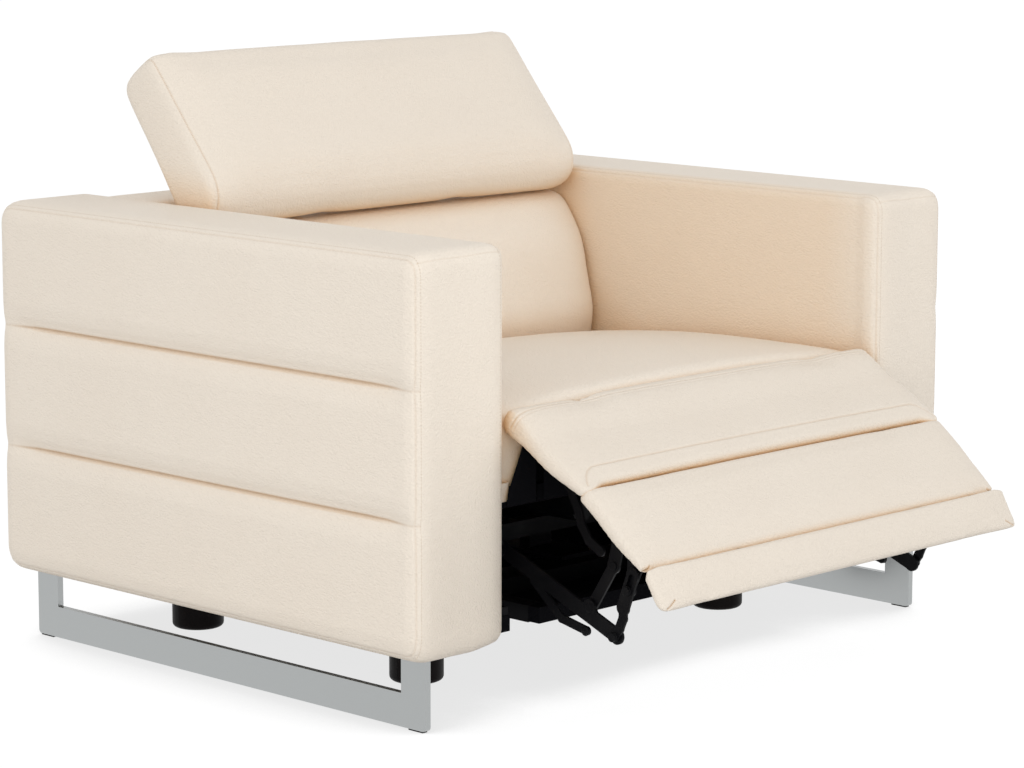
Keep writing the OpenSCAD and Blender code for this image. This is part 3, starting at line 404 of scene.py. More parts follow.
# %% Chrome, steel, plastic
def satin_chrome(name, colour, rough, stretch):
    """Brushed metal; stretch squeezes the scratches across the brushing."""
    material, tree, shader, place = new_material(name, colour, rough, 1.0)
    squeeze = tree.nodes.new("ShaderNodeMapping")
    squeeze.inputs["Scale"].default_value = stretch
    tree.links.new(place, squeeze.inputs["Vector"])
    scratches = noise(tree, squeeze.outputs[0], 500, 2.0)
    tree.links.new(ranged(tree, scratches, 0.3, 0.7, rough - 0.004, rough + 0.004),
                   shader.inputs["Roughness"])
    # Painted reflection: the colour turns a little paler towards the back.
    ends = tree.nodes.new("ShaderNodeSeparateXYZ")
    tree.links.new(place, ends.inputs[0])
    along = ranged(tree, ends.outputs["Y"], -0.25, 0.55)
    painted_reflection = mix_colour(tree, along, tuple(c * 1.10 for c in colour), tuple(c * 1.12 for c in colour))
    tree.links.new(painted_reflection, shader.inputs["Base Color"])
    bump(tree, shader, scratches, 0.004, 0.00002)
    return material


def coated(name, colour, worn, rough, scale, strength):
    """Powder coat or moulded plastic; worn is its colour where hands and links have rubbed it."""
    material, tree, shader, place = new_material(name, colour, rough)
    peel = use_group(tree, peel_group, place, Scale=scale)
    rubbed = ranged(tree, peel.outputs["Wear"], 0.45, 0.75)
    tree.links.new(mix_colour(tree, rubbed, colour, worn), shader.inputs["Base Color"])
    tree.links.new(ranged(tree, peel.outputs["Wear"], 0.3, 0.7, rough, rough - 0.1),
                   shader.inputs["Roughness"])
    shader.inputs["Specular IOR Level"].default_value = 0.07
    bump(tree, shader, peel.outputs["Height"], strength, 0.0003)
    return material


chrome = satin_chrome("satin chrome", (0.42, 0.435, 0.435), 0.30, (1.0, 0.05, 0.25))
rod_chrome = satin_chrome("rod chrome", (0.52, 0.53, 0.53), 0.18, (1.0, 1.0, 0.05))
black_steel = coated("black steel", (0.005, 0.005, 0.006), (0.009, 0.009, 0.010), 0.45, 900, 0.25)
black_plastic = coated("black plastic", (0.006, 0.004, 0.004), (0.010, 0.008, 0.008), 0.5, 1400, 0.2)
print("chrome, black steel and black plastic")


# %% [markdown]
# Hidden wood is plain birch plywood, and the linings are a dark woven cloth. Rings cut by a plane would
# give solid timber. Plywood is peeled from the log and shows long loose streaks, so its grain is noise
# drawn out along one axis.

# %% Plywood and cloth
def plywood(name):
    """Birch plywood: long soft grain, with darker streaks."""
    material, tree, shader, place = new_material(name, (0.58, 0.42, 0.25), 0.6)
    squeeze = tree.nodes.new("ShaderNodeMapping")
    squeeze.inputs["Scale"].default_value = (0.08, 1.0, 1.0)
    tree.links.new(place, squeeze.inputs["Vector"])
    grain = noise(tree, squeeze.outputs[0], 240, 6.0, 0.6)
    streaks = mix_colour(tree, ranged(tree, grain, 0.35, 0.68), (0.42, 0.27, 0.14), (0.62, 0.46, 0.29))
    tree.links.new(streaks, shader.inputs["Base Color"])
    bump(tree, shader, grain, 0.2, 0.0004)
    return material


def woven(name, thread, gap, threads):
    """Plain woven cloth; threads is how close they lie."""
    material, tree, shader, place = new_material(name, thread, 0.9)
    weave = use_group(tree, weave_group, place, Threads=threads)
    tree.links.new(mix_colour(tree, ranged(tree, weave.outputs[0], -0.8, 0.8), gap, thread),
                   shader.inputs["Base Color"])
    shader.inputs["Specular IOR Level"].default_value = 0.04
    bump(tree, shader, weave.outputs[0], 0.4, 0.0004)
    return material


birch = plywood("birch plywood")
lining = woven("lining cloth", (0.008, 0.008, 0.010), (0.003, 0.003, 0.004), 3200.0)
webbing = woven("webbing", (0.035, 0.033, 0.032), (0.010, 0.010, 0.010), 2000.0)
print("plywood, lining and webbing")

# %% [markdown]
# Each piece of the construction that shows takes the finish of its material slot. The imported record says
# which slot that is, so nothing has to be listed twice. Webbing shares the cloth slot, but is a coarser
# strap.

# %% Dress the construction
FINISHES = {
    "arm_leather": arm_hide, "seat_leather": seat_hide, "back_leather": back_hide,
    "footrest_leather": footrest_hide, "satin_chrome": chrome, "black_steel": black_steel,
    "black_plastic": black_plastic, "dark_cloth": lining, "frame_wood": birch,
}
slot_of = {part["node"]: part["material_slot"] for part in frame["record"]["subparts"]}
for name, node in nodes.items():
    finish = FINISHES[slot_of[name]]
    if name.endswith("webbing"):
        finish = webbing
    if name == "glide_rod":
        finish = rod_chrome
    node.data.materials.clear()
    node.data.materials.append(finish)
print(f"dressed {len(nodes)} pieces")


# %% [markdown]
# ## Upholstery
#
# Every cushion goes through the same hands. Its foam block is copied and its loose triangles are merged.
# A voxel remesh turns them into small even squares, which smoothing then rounds like foam under leather.
# Some covers are blown up with Cloth under a little pressure, as stuffing does, and no point may go
# further than a cap. Where the cushion rests on its board, it stays flat. A bevel would round the block's
# edges too, but would leave its faces flat, and a cushion has no flat face that shows.

# %% From foam block to even mesh
MERGE = 1e-5


def foam_copy(node, name):
    """A merged copy of a foam block, which shares nothing with it."""
    cover = bpy.data.objects.new(name, nodes[node].data.copy())
    scene.collection.objects.link(cover)
    cover.data.materials.clear()
    edit_mesh(cover, (bpy.ops.mesh.remove_doubles, {"threshold": MERGE}))
    return cover


def even_out(cover, node, voxel, rounds):
    """Small even squares all over, smoothed, and then let out again to the full form of the foam."""
    change(cover, "REMESH", mode="VOXEL", voxel_size=voxel, use_smooth_shade=True)
    change(cover, "SMOOTH", factor=0.5, iterations=rounds)
    change(cover, "SHRINKWRAP", target=nodes[node], wrap_method="NEAREST_SURFACEPOINT", wrap_mode="OUTSIDE")
    change(cover, "SMOOTH", factor=0.5, iterations=1)


# %% [markdown]
# Cloth leaves small ridges where its pressure and its threads pull against each other. Smoothing the mesh
# would take them out, but would also shrink the cushion. Only the movement is smoothed instead: each
# point takes half of its own and half of its neighbours'.

# %% Calm a movement
def calmed(cover, moved, rounds):
    """Shares each point's movement with its neighbours this many times, which leaves no ridges."""
    edges = np.array([e.vertices[:] for e in cover.data.edges])
    first, second = edges[:, 0], edges[:, 1]
    count = len(moved)
    friends = np.maximum(np.bincount(first, minlength=count) + np.bincount(second, minlength=count), 1)
    for _ in range(rounds):
        near = np.column_stack([
            np.bincount(first, moved[second, k], count) + np.bincount(second, moved[first, k], count)
            for k in range(3)
        ])
        moved = (moved + near / friends[:, None]) / 2
    return moved


# %% [markdown]
# Stuffing pushes a cover out from within until its stitches hold it. Moving every point out along its
# normal would only give a larger block. Cloth under pressure rounds the faces as stuffing does, more in
# the middle than near the edges. The cover swells, so it is drawn in first, and afterwards its movement
# is capped, calmed, and faded out towards the board.

# %% Stuff a cover
CLOTH_FRAMES = 20
SINK = 0.001
REST_FADE = 0.025


def stuff(cover, shrink, caps, rests, calm, pressure=4.0):
    """Draws the cover in by shrink and blows it up. No point moves further than caps along x, y and z, or
    back by more than SINK. rests is the direction towards the board that the cushion lies on, and calm is
    how often a point's movement is shared with its neighbours."""
    before, facing = points_of(cover), normals_of(cover)
    moved = np.zeros_like(before)
    move_points(cover, before - facing * shrink)
    hold(cover)
    cloth = cover.modifiers.new("Cloth", "CLOTH")
    cloth.settings.use_pressure = True
    cloth.settings.uniform_pressure_force = pressure
    cloth.settings.effector_weights.gravity = 0
    cloth.settings.quality = 4
    for frame_number in range(1, CLOTH_FRAMES + 1):
        scene.frame_set(frame_number)
    bpy.ops.object.modifier_apply(modifier=cloth.name)
    scene.frame_set(1)
    moved = points_of(cover) - before
    sunk = np.minimum(0, np.sum(moved * facing, axis=1) + SINK)
    moved = calmed(cover, np.clip(moved - facing * sunk[:, None], -np.array(caps), caps), calm)
    depth = before @ np.array(rests)
    free = smooth_step((depth.max() - depth) / REST_FADE)
    move_points(cover, before + moved * free[:, None])
    print(f"{cover.name}: moved {np.linalg.norm(moved, axis=1).mean() * 1000:.1f} mm on average")


# %% [markdown]
# Most of the cushions take the same steps in the same order, so one function holds them. What differs is
# how far each may swell, and towards which board it rests.

# %% From foam block to stuffed cover
def stuffed(node, name, voxel, rounds, shrink, caps, rests, calm):
    """The cover of a foam block, evened out and stuffed. voxel is the size of its squares, rounds how often
    they are smoothed, and the rest is as in stuff."""
    cover = foam_copy(node, name)
    even_out(cover, node, voxel, rounds)
    stuff(cover, shrink, caps, rests, calm)
    return cover


def subdivide(cover):
    """Halves every edge, which also rounds the cover a little more."""
    change(cover, "SUBSURF", levels=1, render_levels=1)


# %% [markdown]
# Where two soft pieces meet, an upholsterer lets a cover out a little, so that no gap shows. Scaling it
# would move its other side too. Here the points near one end move along one direction, and the movement
# fades out towards the middle.

# %% Let a cover out
def ahead(slope):
    """The direction to the front along a board that slopes down by this much."""
    return (0.0, -math.cos(slope), -math.sin(slope))


def let_out(cover, way, far, near=0.0, fade=0.030, only=1.0):
    """Makes a cover longer along way, by far and near at its two ends, so that it meets its neighbour. Each
    fades out over fade, and only says how much of it each point gets."""
    co = points_of(cover)
    along = co @ np.array(way)
    share = smooth_step((along - along.max() + fade) / fade) * far
    share -= smooth_step((along.min() + fade - along) / fade) * near
    move_points(cover, co + np.outer(share * only, way))


# %% [markdown]
# A finished cover gets its leather, goes with the body that it belongs to, and stands for its foam block,
# which stays in the simulation. That is the same for every cover, so it is done in one place.

# %% Put a finished cover in place
def place_cover(cover, body, slot, hide, fill, *replaced):
    """Gives the cover its leather, its body and the foam blocks that it stands for."""
    cover.data.materials.clear()
    cover.data.materials.append(hide)
    hold(cover)
    bpy.ops.object.shade_smooth()
    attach(cover, body)
    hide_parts(*replaced)
    print(f"{cover.name}: {len(cover.data.polygons)} faces")


# %% [markdown]
# ## Seams
#
# A seam is where two panels of leather meet: a narrow furrow, painted a little darker as shade, with the
# leather swelling on both sides. The mesh is first made finer along the seam, because a furrow needs points
# to bend. Then every point near the line goes in by a bell curve, and the cover remembers how deep it lies
# as its crease, which the leather turns into painted shade. A dark line in the material could stand for a
# seam, but from the side it would look drawn on.

# %% Seam lines
def walk(line, step):
    """Points every step along a line."""
    line = np.array(line, float)
    legs = np.linalg.norm(np.diff(line, axis=0), axis=1)
    along = np.concatenate([[0], np.cumsum(legs)])
    count = max(2, int(round(along[-1] / step)) + 1)
    at = np.linspace(0, along[-1], count)
    return np.column_stack([np.interp(at, along, line[:, k]) for k in range(3)])


def snap(cover, line):
    """The line's points moved to the nearest place on the cover, and the cover's direction there."""
    tree = bvhtree.BVHTree.FromObject(cover, bpy.context.evaluated_depsgraph_get())
    found = [tree.find_nearest(Vector(p)) for p in line]
    return np.array([f[0] for f in found]), np.array([f[1] for f in found])


DROP_FROM = 0.05
RIM = 0.016
SECTOR = math.radians(1.5)


def drop(cover, line, way):
    """The places where the line's points land on the cover when they fall along way."""
    tree = bvhtree.BVHTree.FromObject(cover, bpy.context.evaluated_depsgraph_get())
    way = Vector(way)
    landed = [tree.ray_cast(Vector(p) - way * DROP_FROM, way)[0] for p in line]
    return np.array([place or point for place, point in zip(landed, line)])


def ring_at(cover, x):
    """The cover's outline where the plane at x cuts it, in order round its middle. Points further in than
    RIM, such as the walls of a channel, are left out."""
    co = points_of(cover)
    edges = np.array([e.vertices[:] for e in cover.data.edges])
    a, b = co[edges[:, 0]], co[edges[:, 1]]
    side_a, side_b = a[:, 0] - x, b[:, 0] - x
    cut = side_a * side_b < 0
    share = side_a[cut] / (side_a[cut] - side_b[cut])
    ring = a[cut] + share[:, None] * (b[cut] - a[cut])
    middle = (ring.max(0) + ring.min(0)) / 2
    turn = np.arctan2(ring[:, 2] - middle[2], ring[:, 1] - middle[1])
    reach = np.linalg.norm(ring[:, 1:] - middle[1:], axis=1)
    sector = np.round(turn / SECTOR)
    keep = [reach[i] > reach[sector == sector[i]].max() - RIM for i in range(len(ring))]
    ring = ring[keep][np.argsort(turn[keep])]
    return np.vstack([ring, ring[:1]])


def at(*places):
    """Places measured in millimetres from the arms' front, in the frame's metres."""
    return [(x * MM, y * MM - FRONT, z * MM) for x, y, z in places]


def both_sides(line):
    """A line and its twin on the chair's other side."""
    return [line, [(-x, y, z) for x, y, z in line]]


# %% [markdown]
# A remeshed cover has no row of edges along a seam that could be pulled in. So the faces near the seams
# are divided twice, and each point is then moved by its distance to the nearest seam point. A tree of
# these points finds the nearest one quickly.

# %% Sew
SEAM_STEP = 0.003
REFINE = (0.010, 0.005)
SEAM_REACH = 5
SWELL_AT, SWELL_HIGH = 2.6, 0.12
LINE_SHARE = 0.75
FULL_DEPTH = 0.001


def sew(cover, seams):
    """Presses seams into a cover. A seam is a line, its depth, its half width and how dark its painted shade
    is.
    """
    seam_points = []
    for line, depth, half, dark in seams:
        places, _ = snap(cover, walk(line, SEAM_STEP))
        depth = np.atleast_1d(depth)
        depths = np.interp(np.linspace(0, 1, len(places)), np.linspace(0, 1, len(depth)), depth)
        seam_points += [(p, d, half, dark) for p, d in zip(places, depths)]
    near = kdtree.KDTree(len(seam_points))
    for index, (place, _, _, _) in enumerate(seam_points):
        near.insert(place, index)
    near.balance()
    for reach in REFINE:
        finer(cover, near, reach)
    co, facing = points_of(cover), normals_of(cover)
    crease = np.zeros(len(co), np.float32)
    for index, place in enumerate(co):
        _, which, distance = near.find(place)
        _, depth, half, dark = seam_points[which]
        if distance < SEAM_REACH * half:
            bell = math.exp(-((distance / half) ** 2))
            swell = math.exp(-((distance / half - SWELL_AT) ** 2)) * SWELL_HIGH
            co[index] -= facing[index] * depth * (bell - swell)
            # The crease attribute is painted shade, darkest along the middle of the furrow.
            shade_line = math.exp(-((distance / (LINE_SHARE * half)) ** 2))
            crease[index] = dark * shade_line * min(1, depth / FULL_DEPTH)
    move_points(cover, co)
    cover.data.attributes.new("crease", "FLOAT", "POINT").data.foreach_set("value", crease)


def finer(cover, near, reach):
    """Halves the faces that lie closer than reach to a seam."""
    close = np.array([near.find(f.center)[2] < reach for f in cover.data.polygons])
    hold(cover)
    bpy.ops.object.mode_set(mode="EDIT")
    bpy.ops.mesh.select_all(action="DESELECT")
    bpy.ops.mesh.select_mode(type="FACE")
    bpy.ops.object.mode_set(mode="OBJECT")
    cover.data.polygons.foreach_set("select", close)
    bpy.ops.object.mode_set(mode="EDIT")
    bpy.ops.mesh.subdivide(number_cuts=1)
    bpy.ops.mesh.vertices_smooth(factor=0.5, repeat=1)
    bpy.ops.object.mode_set(mode="OBJECT")


# %% [markdown]
# Stitches are short runs of thread that dip in and out beside a seam. One stitch is modelled, a small bar
# with its ends drawn in, and copied along the line, each copy turned to the line and seated on the
# leather. An array along a curve could copy it too, but wouldn't turn each copy with the leather.

# %% One stitch, and a row of them
STITCH_LONG, STITCH_WIDE, STITCH_PITCH = 0.0032, 0.0006, 0.0045
STITCH_DIP = 0.6
STITCH_END = 0.55
ALONG_X = (0, math.pi / 2, 0)
bpy.ops.object.select_all(action="DESELECT")
bpy.ops.mesh.primitive_cylinder_add(vertices=6, radius=STITCH_WIDE / 2, depth=STITCH_LONG, rotation=ALONG_X)
stitch = bpy.context.object
stitch.name = "stitch"
bpy.ops.object.transform_apply(location=True, rotation=True, scale=True)
edit_mesh(stitch, (bpy.ops.mesh.subdivide, {"number_cuts": 1}))
stitch_points = points_of(stitch)
stitch_faces = [tuple(f.vertices) for f in stitch.data.polygons]
arch = 1 - (np.abs(stitch_points[:, 0]) / (STITCH_LONG / 2)) ** 2
stitch_points[:, 2] += (arch - STITCH_DIP) * STITCH_WIDE * STITCH_DIP
stitch_points[:, 1:] *= (STITCH_END + (1 - STITCH_END) * arch)[:, None]
bpy.data.objects.remove(stitch)
print(f"one stitch has {len(stitch_faces)} faces")


def stitch_row(cover, lines, name, thread):
    """A row of stitches along each line, as one piece that belongs to the cover."""
    places, faces = [], []
    for line in lines:
        seats, ups = snap(cover, walk(line, STITCH_PITCH))
        aims = np.gradient(seats, axis=0)
        for seat, up, aim in zip(seats, ups, aims):
            aim = aim - up * (aim @ up)
            aim = aim / max(np.linalg.norm(aim), 1e-9)
            side = np.cross(up, aim)
            turned = np.outer(stitch_points[:, 0], aim) + np.outer(stitch_points[:, 1], side)
            turned += np.outer(stitch_points[:, 2], up)
            start = len(places) * len(stitch_points)
            faces += [tuple(v + start for v in f) for f in stitch_faces]
            places.append(turned + seat)
    mesh = bpy.data.meshes.new(name)
    mesh.from_pydata(np.vstack(places).tolist(), [], faces)
    mesh.materials.append(thread)
    row = bpy.data.objects.new(name, mesh)
    scene.collection.objects.link(row)
    hold(row)
    bpy.ops.object.shade_smooth()
    return row


# %% [markdown]
# The thread is bonded, in the leather's colour and a shade darker. It is too fine to show its plies in a
# picture, so a little noise stands in for them.

# %% Thread
def thread_material(name):
    """Bonded thread in the leather's colour, a shade darker."""
    material, tree, shader, place = new_material(name, (0.62, 0.50, 0.37), 0.5)
    ply = noise(tree, place, 2500, 2.0)
    tree.links.new(mix_colour(tree, ranged(tree, ply, 0.3, 0.7), (0.50, 0.39, 0.27), (0.66, 0.54, 0.41)),
                   shader.inputs["Base Color"])
    bump(tree, shader, ply, 0.3, 0.0002)
    return material


thread = thread_material("cream thread")

# %% [markdown]
# ## The arms
#
# An arm is a box under 24 mm of foam. Its two long channels are sewn down into the foam, deep in the
# middle and fading out before the front. A seam follows the rounded edge of both side panels, with a row
# of stitches on the band next to it, and another seam crosses the band at the arm's upper corners. The
# plywood box has its own piece, and no one sees the cover's inner walls, so these are deleted and the
# cover is closed. Then it is let out a little: at the front, at the hem that hangs over the chrome bar,
# and behind.

# %% Arm values, read from the foam block
ARM_VOXEL = 0.005
SEAM_IN, STITCH_IN = 0.0075, 0.0135
CORNER_IN, CORNER_DOWN = 0.0045, 0.010
# The last number of each seam, and of the channels below, is how dark its painted crease shade is.
EDGE_SEAM = (0.0012, 0.0016, 0.20)  # depth, half width, darkness
CORNER_SEAM = (0.0010, 0.0014, 0.16)
CHANNEL_HEIGHTS = (0.297, 0.482)
CHANNEL_DEEP, CHANNEL_HALF, CHANNEL_SHADE = 0.0030, 0.0023, 0.70
CHANNEL_ENDS = 0.010
CHANNEL_CLEAR, CHANNEL_FADE, CHANNEL_LEAST = 0.020, 0.110, 0.09


def arm_lines(cover, side):
    """The seams and stitch rows of one arm; side is 1 on the right and -1 on the left."""
    low, high = (Vector(c) for c in (points_of(cover).min(0), points_of(cover).max(0)))
    outer = high.x if side > 0 else -low.x
    inner = low.x if side > 0 else -high.x
    seams, rows = [], []
    for edge, step in ((outer, -1), (inner, 1)):
        seams.append((ring_at(cover, side * (edge + step * SEAM_IN)), *EDGE_SEAM))
        rows.append(ring_at(cover, side * (edge + step * STITCH_IN)))
    for y in (low.y + CORNER_IN, high.y - CORNER_IN):
        across = [(side * x, y, high.z - CORNER_DOWN) for x in (inner + SEAM_IN, outer - SEAM_IN)]
        seams.append((walk(across, 0.004), *CORNER_SEAM))
    for z in CHANNEL_HEIGHTS:
        line = walk([(side * outer, y, z) for y in (low.y + CHANNEL_ENDS, high.y - CHANNEL_ENDS)], SEAM_STEP)
        ends = np.minimum(line[:, 1] - low.y, high.y - line[:, 1])
        full = smooth_step((ends - CHANNEL_CLEAR) / CHANNEL_FADE)
        depth = CHANNEL_DEEP * (CHANNEL_LEAST + (1 - CHANNEL_LEAST) * full)
        seams.append((drop(cover, line, (-side, 0, 0)), depth, CHANNEL_HALF, CHANNEL_SHADE))
    return seams, rows


# %% [markdown]
# The arm's foam wraps round the plywood box, so it has walls inside that no one sees. They could stay,
# but the remesh would spend many of its squares on them. The points that lie round the box are deleted,
# and the holes that this leaves are filled.

# %% Hollow an arm
CORE_PLAY = 0.002


def without_core(cover, core):
    """Deletes the inner walls that lie round the plywood box, and closes what stays open."""
    low, high = (np.array(corner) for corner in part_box(core))
    hold(cover)
    bpy.ops.object.mode_set(mode="EDIT")
    bpy.ops.mesh.select_all(action="DESELECT")
    bpy.ops.mesh.select_mode(type="VERT")
    bpy.ops.object.mode_set(mode="OBJECT")
    co = points_of(cover)
    inside = np.all((co > low - CORE_PLAY) & (co < high + CORE_PLAY), axis=1)
    cover.data.vertices.foreach_set("select", inside)
    bpy.ops.object.mode_set(mode="EDIT")
    bpy.ops.mesh.delete(type="VERT")
    bpy.ops.mesh.select_all(action="SELECT")
    bpy.ops.mesh.fill_holes(sides=0)
    bpy.ops.object.mode_set(mode="OBJECT")


# %% [markdown]
# The arms are mirror images. One could be made and mirrored, but a mirrored mesh comes out inside out and
# would have to be turned. Each is made from its own foam block instead, and only the side differs, -1 on
# the left and 1 on the right.

# %% Both arms
for side, name in ((-1, "left"), (1, "right")):
    arm = foam_copy(f"{name}_arm_cover", f"{name}_arm")
    without_core(arm, f"{name}_arm_frame")
    even_out(arm, f"{name}_arm_cover", ARM_VOXEL, 4)
    co = points_of(arm)
    from_front = co[:, 1] - co[:, 1].min()
    from_inside = (-side * co[:, 0]).max() + side * co[:, 0]
    near_front = smooth_step((0.045 - from_front) / 0.040)
    near_inside = smooth_step((0.100 - from_inside) / 0.080)
    hem = 0.1 + 0.9 * smooth_step(from_inside / 0.060)
    let_out(arm, (-side, 0, 0), 0.0070, only=near_front)
    let_out(arm, (0, -1, 0), 0.0045, only=near_inside)
    let_out(arm, (0, 0, -1), 0.007, fade=0.040, only=hem)
    let_out(arm, (side, 0, 0), 0.005)
    let_out(arm, (0, 1, 0), 0.012, fade=0.060)
    seams, rows = arm_lines(arm, side)
    sew(arm, seams)
    row = stitch_row(arm, rows, f"{name}_arm_stitches", thread)
    place_cover(arm, "base", "arm_leather", arm_hide, 0.8, f"{name}_arm_cover")
    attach(row, "base")

# %% [markdown]
# ## Seat, back and headrest
#
# These three are foam blocks with a full crown. The seat lies on its webbing, the back on the back frame,
# and the headrest on its board, so each is flat on that side and swells everywhere else. A vertex group
# could mark that side, but a remesh loses it, so each side is given as a direction.

# %% Directions towards the boards
BACK_LEAN = math.radians(17)
HEAD_LEAN = math.radians(36.5)
FLAP_SLOPE, MAIN_SLOPE, TOE_SLOPE = (math.radians(a) for a in (29, 41.6, 60))


def under(slope):
    """The direction straight down through a board that slopes down to the front by this much."""
    return (0.0, math.sin(slope), -math.cos(slope))


def behind(lean):
    """The direction straight back through a cushion that leans back by this much."""
    return (0.0, math.cos(lean), -math.sin(lean))


def above(lean):
    """The direction straight up along a cushion that leans back by this much."""
    return (0.0, math.sin(lean), math.cos(lean))


# %% [markdown]
# The seat's foam has two slots in front, for the tabs of the hinge arms. Only the upper part of each is
# needed, so the rest is filled first. The front is pressed flat where the lining goes on, and gives way
# where the flap's stays and the tabs swing in as the footrest closes. A block that overlaps the foam is
# enough to fill a slot, because the remesh makes both one.

# %% Fill the slots
TAB = (0.233, 0.267)
TAB_LOW = 0.386
SLOT_FRONT, SLOT_BACK, SLOT_LOW = 0.0195, 0.052, 0.319


def plug(cover, low, high):
    """Fills a slot in the foam with a block, which the remesh then makes one with the rest."""
    bpy.ops.object.select_all(action="DESELECT")
    bpy.ops.mesh.primitive_cube_add(size=1, location=(np.array(low) + high) / 2, scale=np.array(high) - low)
    cover.select_set(True)
    bpy.context.view_layer.objects.active = cover
    bpy.ops.object.join()


seat = foam_copy("seat_cushion", "seat")
for left, right in ((-TAB[1], -TAB[0]), TAB):
    plug(seat, (left, SLOT_FRONT - FRONT, SLOT_LOW), (right, SLOT_BACK - FRONT, TAB_LOW))

# %% [markdown]
# The seat is wide and gently crowned. Its top may rise by 10 mm and its sides hardly move, because they
# lie close to the arms. The lower part of its front is cut flat for the lining.

# %% Seat cushion
LINED_HIGH, FRONT_FLAT = 0.410, 0.0185
even_out(seat, "seat_cushion", 0.008, 4)
stuff(seat, 0.004, (0.002, 0.002, 0.010), (0, 0, -1), 40)
seat_points = points_of(seat)
lined = seat_points[:, 2] < LINED_HIGH
seat_points[lined, 1] = np.maximum(seat_points[lined, 1], FRONT_FLAT - FRONT)
move_points(seat, seat_points)
subdivide(seat)

# %% [markdown]
# A boolean could cut pockets for the steel, but with sharp edges and uneven faces. The foam's own points
# are pushed back instead, after the subdivision, so that the pockets keep their depth.

# %% Room for the stays and the tabs
STEEL_HALF = 0.016
STEEL_ROOM = [(0.314, 0.300, 0.402, 0.036), (0.250, 0.384, 0.414, 0.028)]  # middle, low, high, how deep
seat_points = points_of(seat)
across, from_arms, up = np.abs(seat_points[:, 0]), seat_points[:, 1] + FRONT, seat_points[:, 2]
for middle, low, high, deep in STEEL_ROOM:
    give = (np.abs(across - middle) < STEEL_HALF) & (up > low) & (up < high) & (from_arms < deep)
    seat_points[give, 1] = deep - FRONT
move_points(seat, seat_points)
place_cover(seat, "carriage", "seat_leather", seat_hide, 0.8, "seat_cushion")

# %% [markdown]
# No leather may show through the slits, so the foam's faces behind the lining get the cloth. They are
# picked by their place, a little inside the lining's own edge.

# %% Cloth on the foam behind the lining
LINING_EDGE = [(296, 386), (312, 384), (322, 380), (350, 367), (372, 357), (392, 347), (402, 342)]
CLOTH_DEEP, CLOTH_HIGH, CLOTH_RIM = 0.045, 0.404, 0.010
heights, widths = np.array(LINING_EDGE).T * MM
seat.data.materials.append(lining)
for face in seat.data.polygons:
    x, y, z = face.center
    in_front = y + FRONT < CLOTH_DEEP and z < CLOTH_HIGH
    face.material_index = int(in_front and abs(x) < np.interp(z, heights, widths) - CLOTH_RIM)

# %% [markdown]
# The back cushion leans with its frame and is flat behind. It is let out at the top, under the headrest,
# and its upper half also towards the arms.

# %% Back cushion
back = stuffed("back_cushion", "back_rest", 0.008, 4, 0.004, (0.003, 0.010, 0.004), behind(BACK_LEAN), 40)
let_out(back, above(BACK_LEAN), 0.006, fade=0.080)
top_half = smooth_step((points_of(back)[:, 2] - 0.50) / 0.10)
let_out(back, (1, 0, 0), 0.006, 0.006, fade=0.060, only=top_half)
subdivide(back)
place_cover(back, "back", "back_leather", back_hide, 0.8, "back_cushion")

# %% [markdown]
# The headrest is a roll with a flat gusset at each end, so a seam runs round it near both ends. Its upper
# part is stuffed more fully behind. The seam is found by cutting the finished roll with an upright plane,
# so that it lies on the leather all the way round.

# %% Headrest
GUSSET_X = 0.386
# The gusset seam's last number is how dark its painted crease shade is.
GUSSET_SEAM = (0.0014, 0.0016, 0.34)
HEAD_BACK = 0.008
headrest = stuffed("headrest_cushion", "headrest_roll", 0.007, 4, 0.003, (0.008, 0.010, 0.008),
                   behind(HEAD_LEAN), 40)
let_out(headrest, above(HEAD_LEAN), 0.008, 0.012, fade=0.120)
upper = smooth_step((points_of(headrest)[:, 2] - 0.70) / 0.15)
let_out(headrest, (1, 0, 0), 0.005, 0.005, fade=0.100, only=1 - upper)
let_out(headrest, behind(HEAD_LEAN), 0.012, fade=0.080, only=upper)
move_points(headrest, points_of(headrest) + np.array([0, HEAD_BACK, 0]))
subdivide(headrest)
sew(headrest, [(ring_at(headrest, side * GUSSET_X), *GUSSET_SEAM) for side in (-1, 1)])
place_cover(headrest, "headrest", "back_leather", headrest_hide, 0.8, "headrest_cushion")

# %% [markdown]
# The seat's front is hidden under the flap when the footrest is closed, so it is lined with dark cloth.
# The leather comes round from each side as a narrow cheek, and its edge is cut in a slight curve. The
# lining is seven strips side by side, drawn out to that edge, so that slits stay open for the steel
# stays, and openings for the hinge arms' tabs. The foam behind it wears the same cloth. One sheet could
# be cut by a boolean, but strips on a grid keep even faces and clean edges.

# %% Seat front lining
LINING_FACE, LINING_THICK = 0.0179, 0.0006
UPRIGHT = (math.pi / 2, 0, 0)
SLIT = (0.311, 0.327)
FULL = heights[-1]
strips = []
for start, end, top in ((-1, -SLIT[1], FULL), (-SLIT[0], -TAB[1], FULL), (-TAB[1], -TAB[0], TAB_LOW),
                        (-TAB[0], TAB[0], FULL), (TAB[0], TAB[1], TAB_LOW), (TAB[1], SLIT[0], FULL),
                        (SLIT[1], 1, FULL)):
    bpy.ops.object.select_all(action="DESELECT")
    bpy.ops.mesh.primitive_grid_add(x_subdivisions=12, y_subdivisions=18, size=1, rotation=UPRIGHT)
    strip = bpy.context.object
    bpy.ops.object.transform_apply(location=True, rotation=True, scale=True)
    co = points_of(strip)
    z = heights[0] + (co[:, 2] - co[:, 2].min()) * (top - heights[0])
    edge = np.interp(z, heights, widths)
    first = np.where(start == -1, -edge, start)
    last = np.where(end == 1, edge, end)
    x = first + (co[:, 0] + 0.5) * (last - first)
    move_points(strip, np.column_stack([x, np.full(len(x), LINING_FACE - FRONT), z]))
    change(strip, "SOLIDIFY", thickness=LINING_THICK, offset=1)
    strips.append(strip)
hold(strips[0])
for strip in strips[1:]:
    strip.select_set(True)
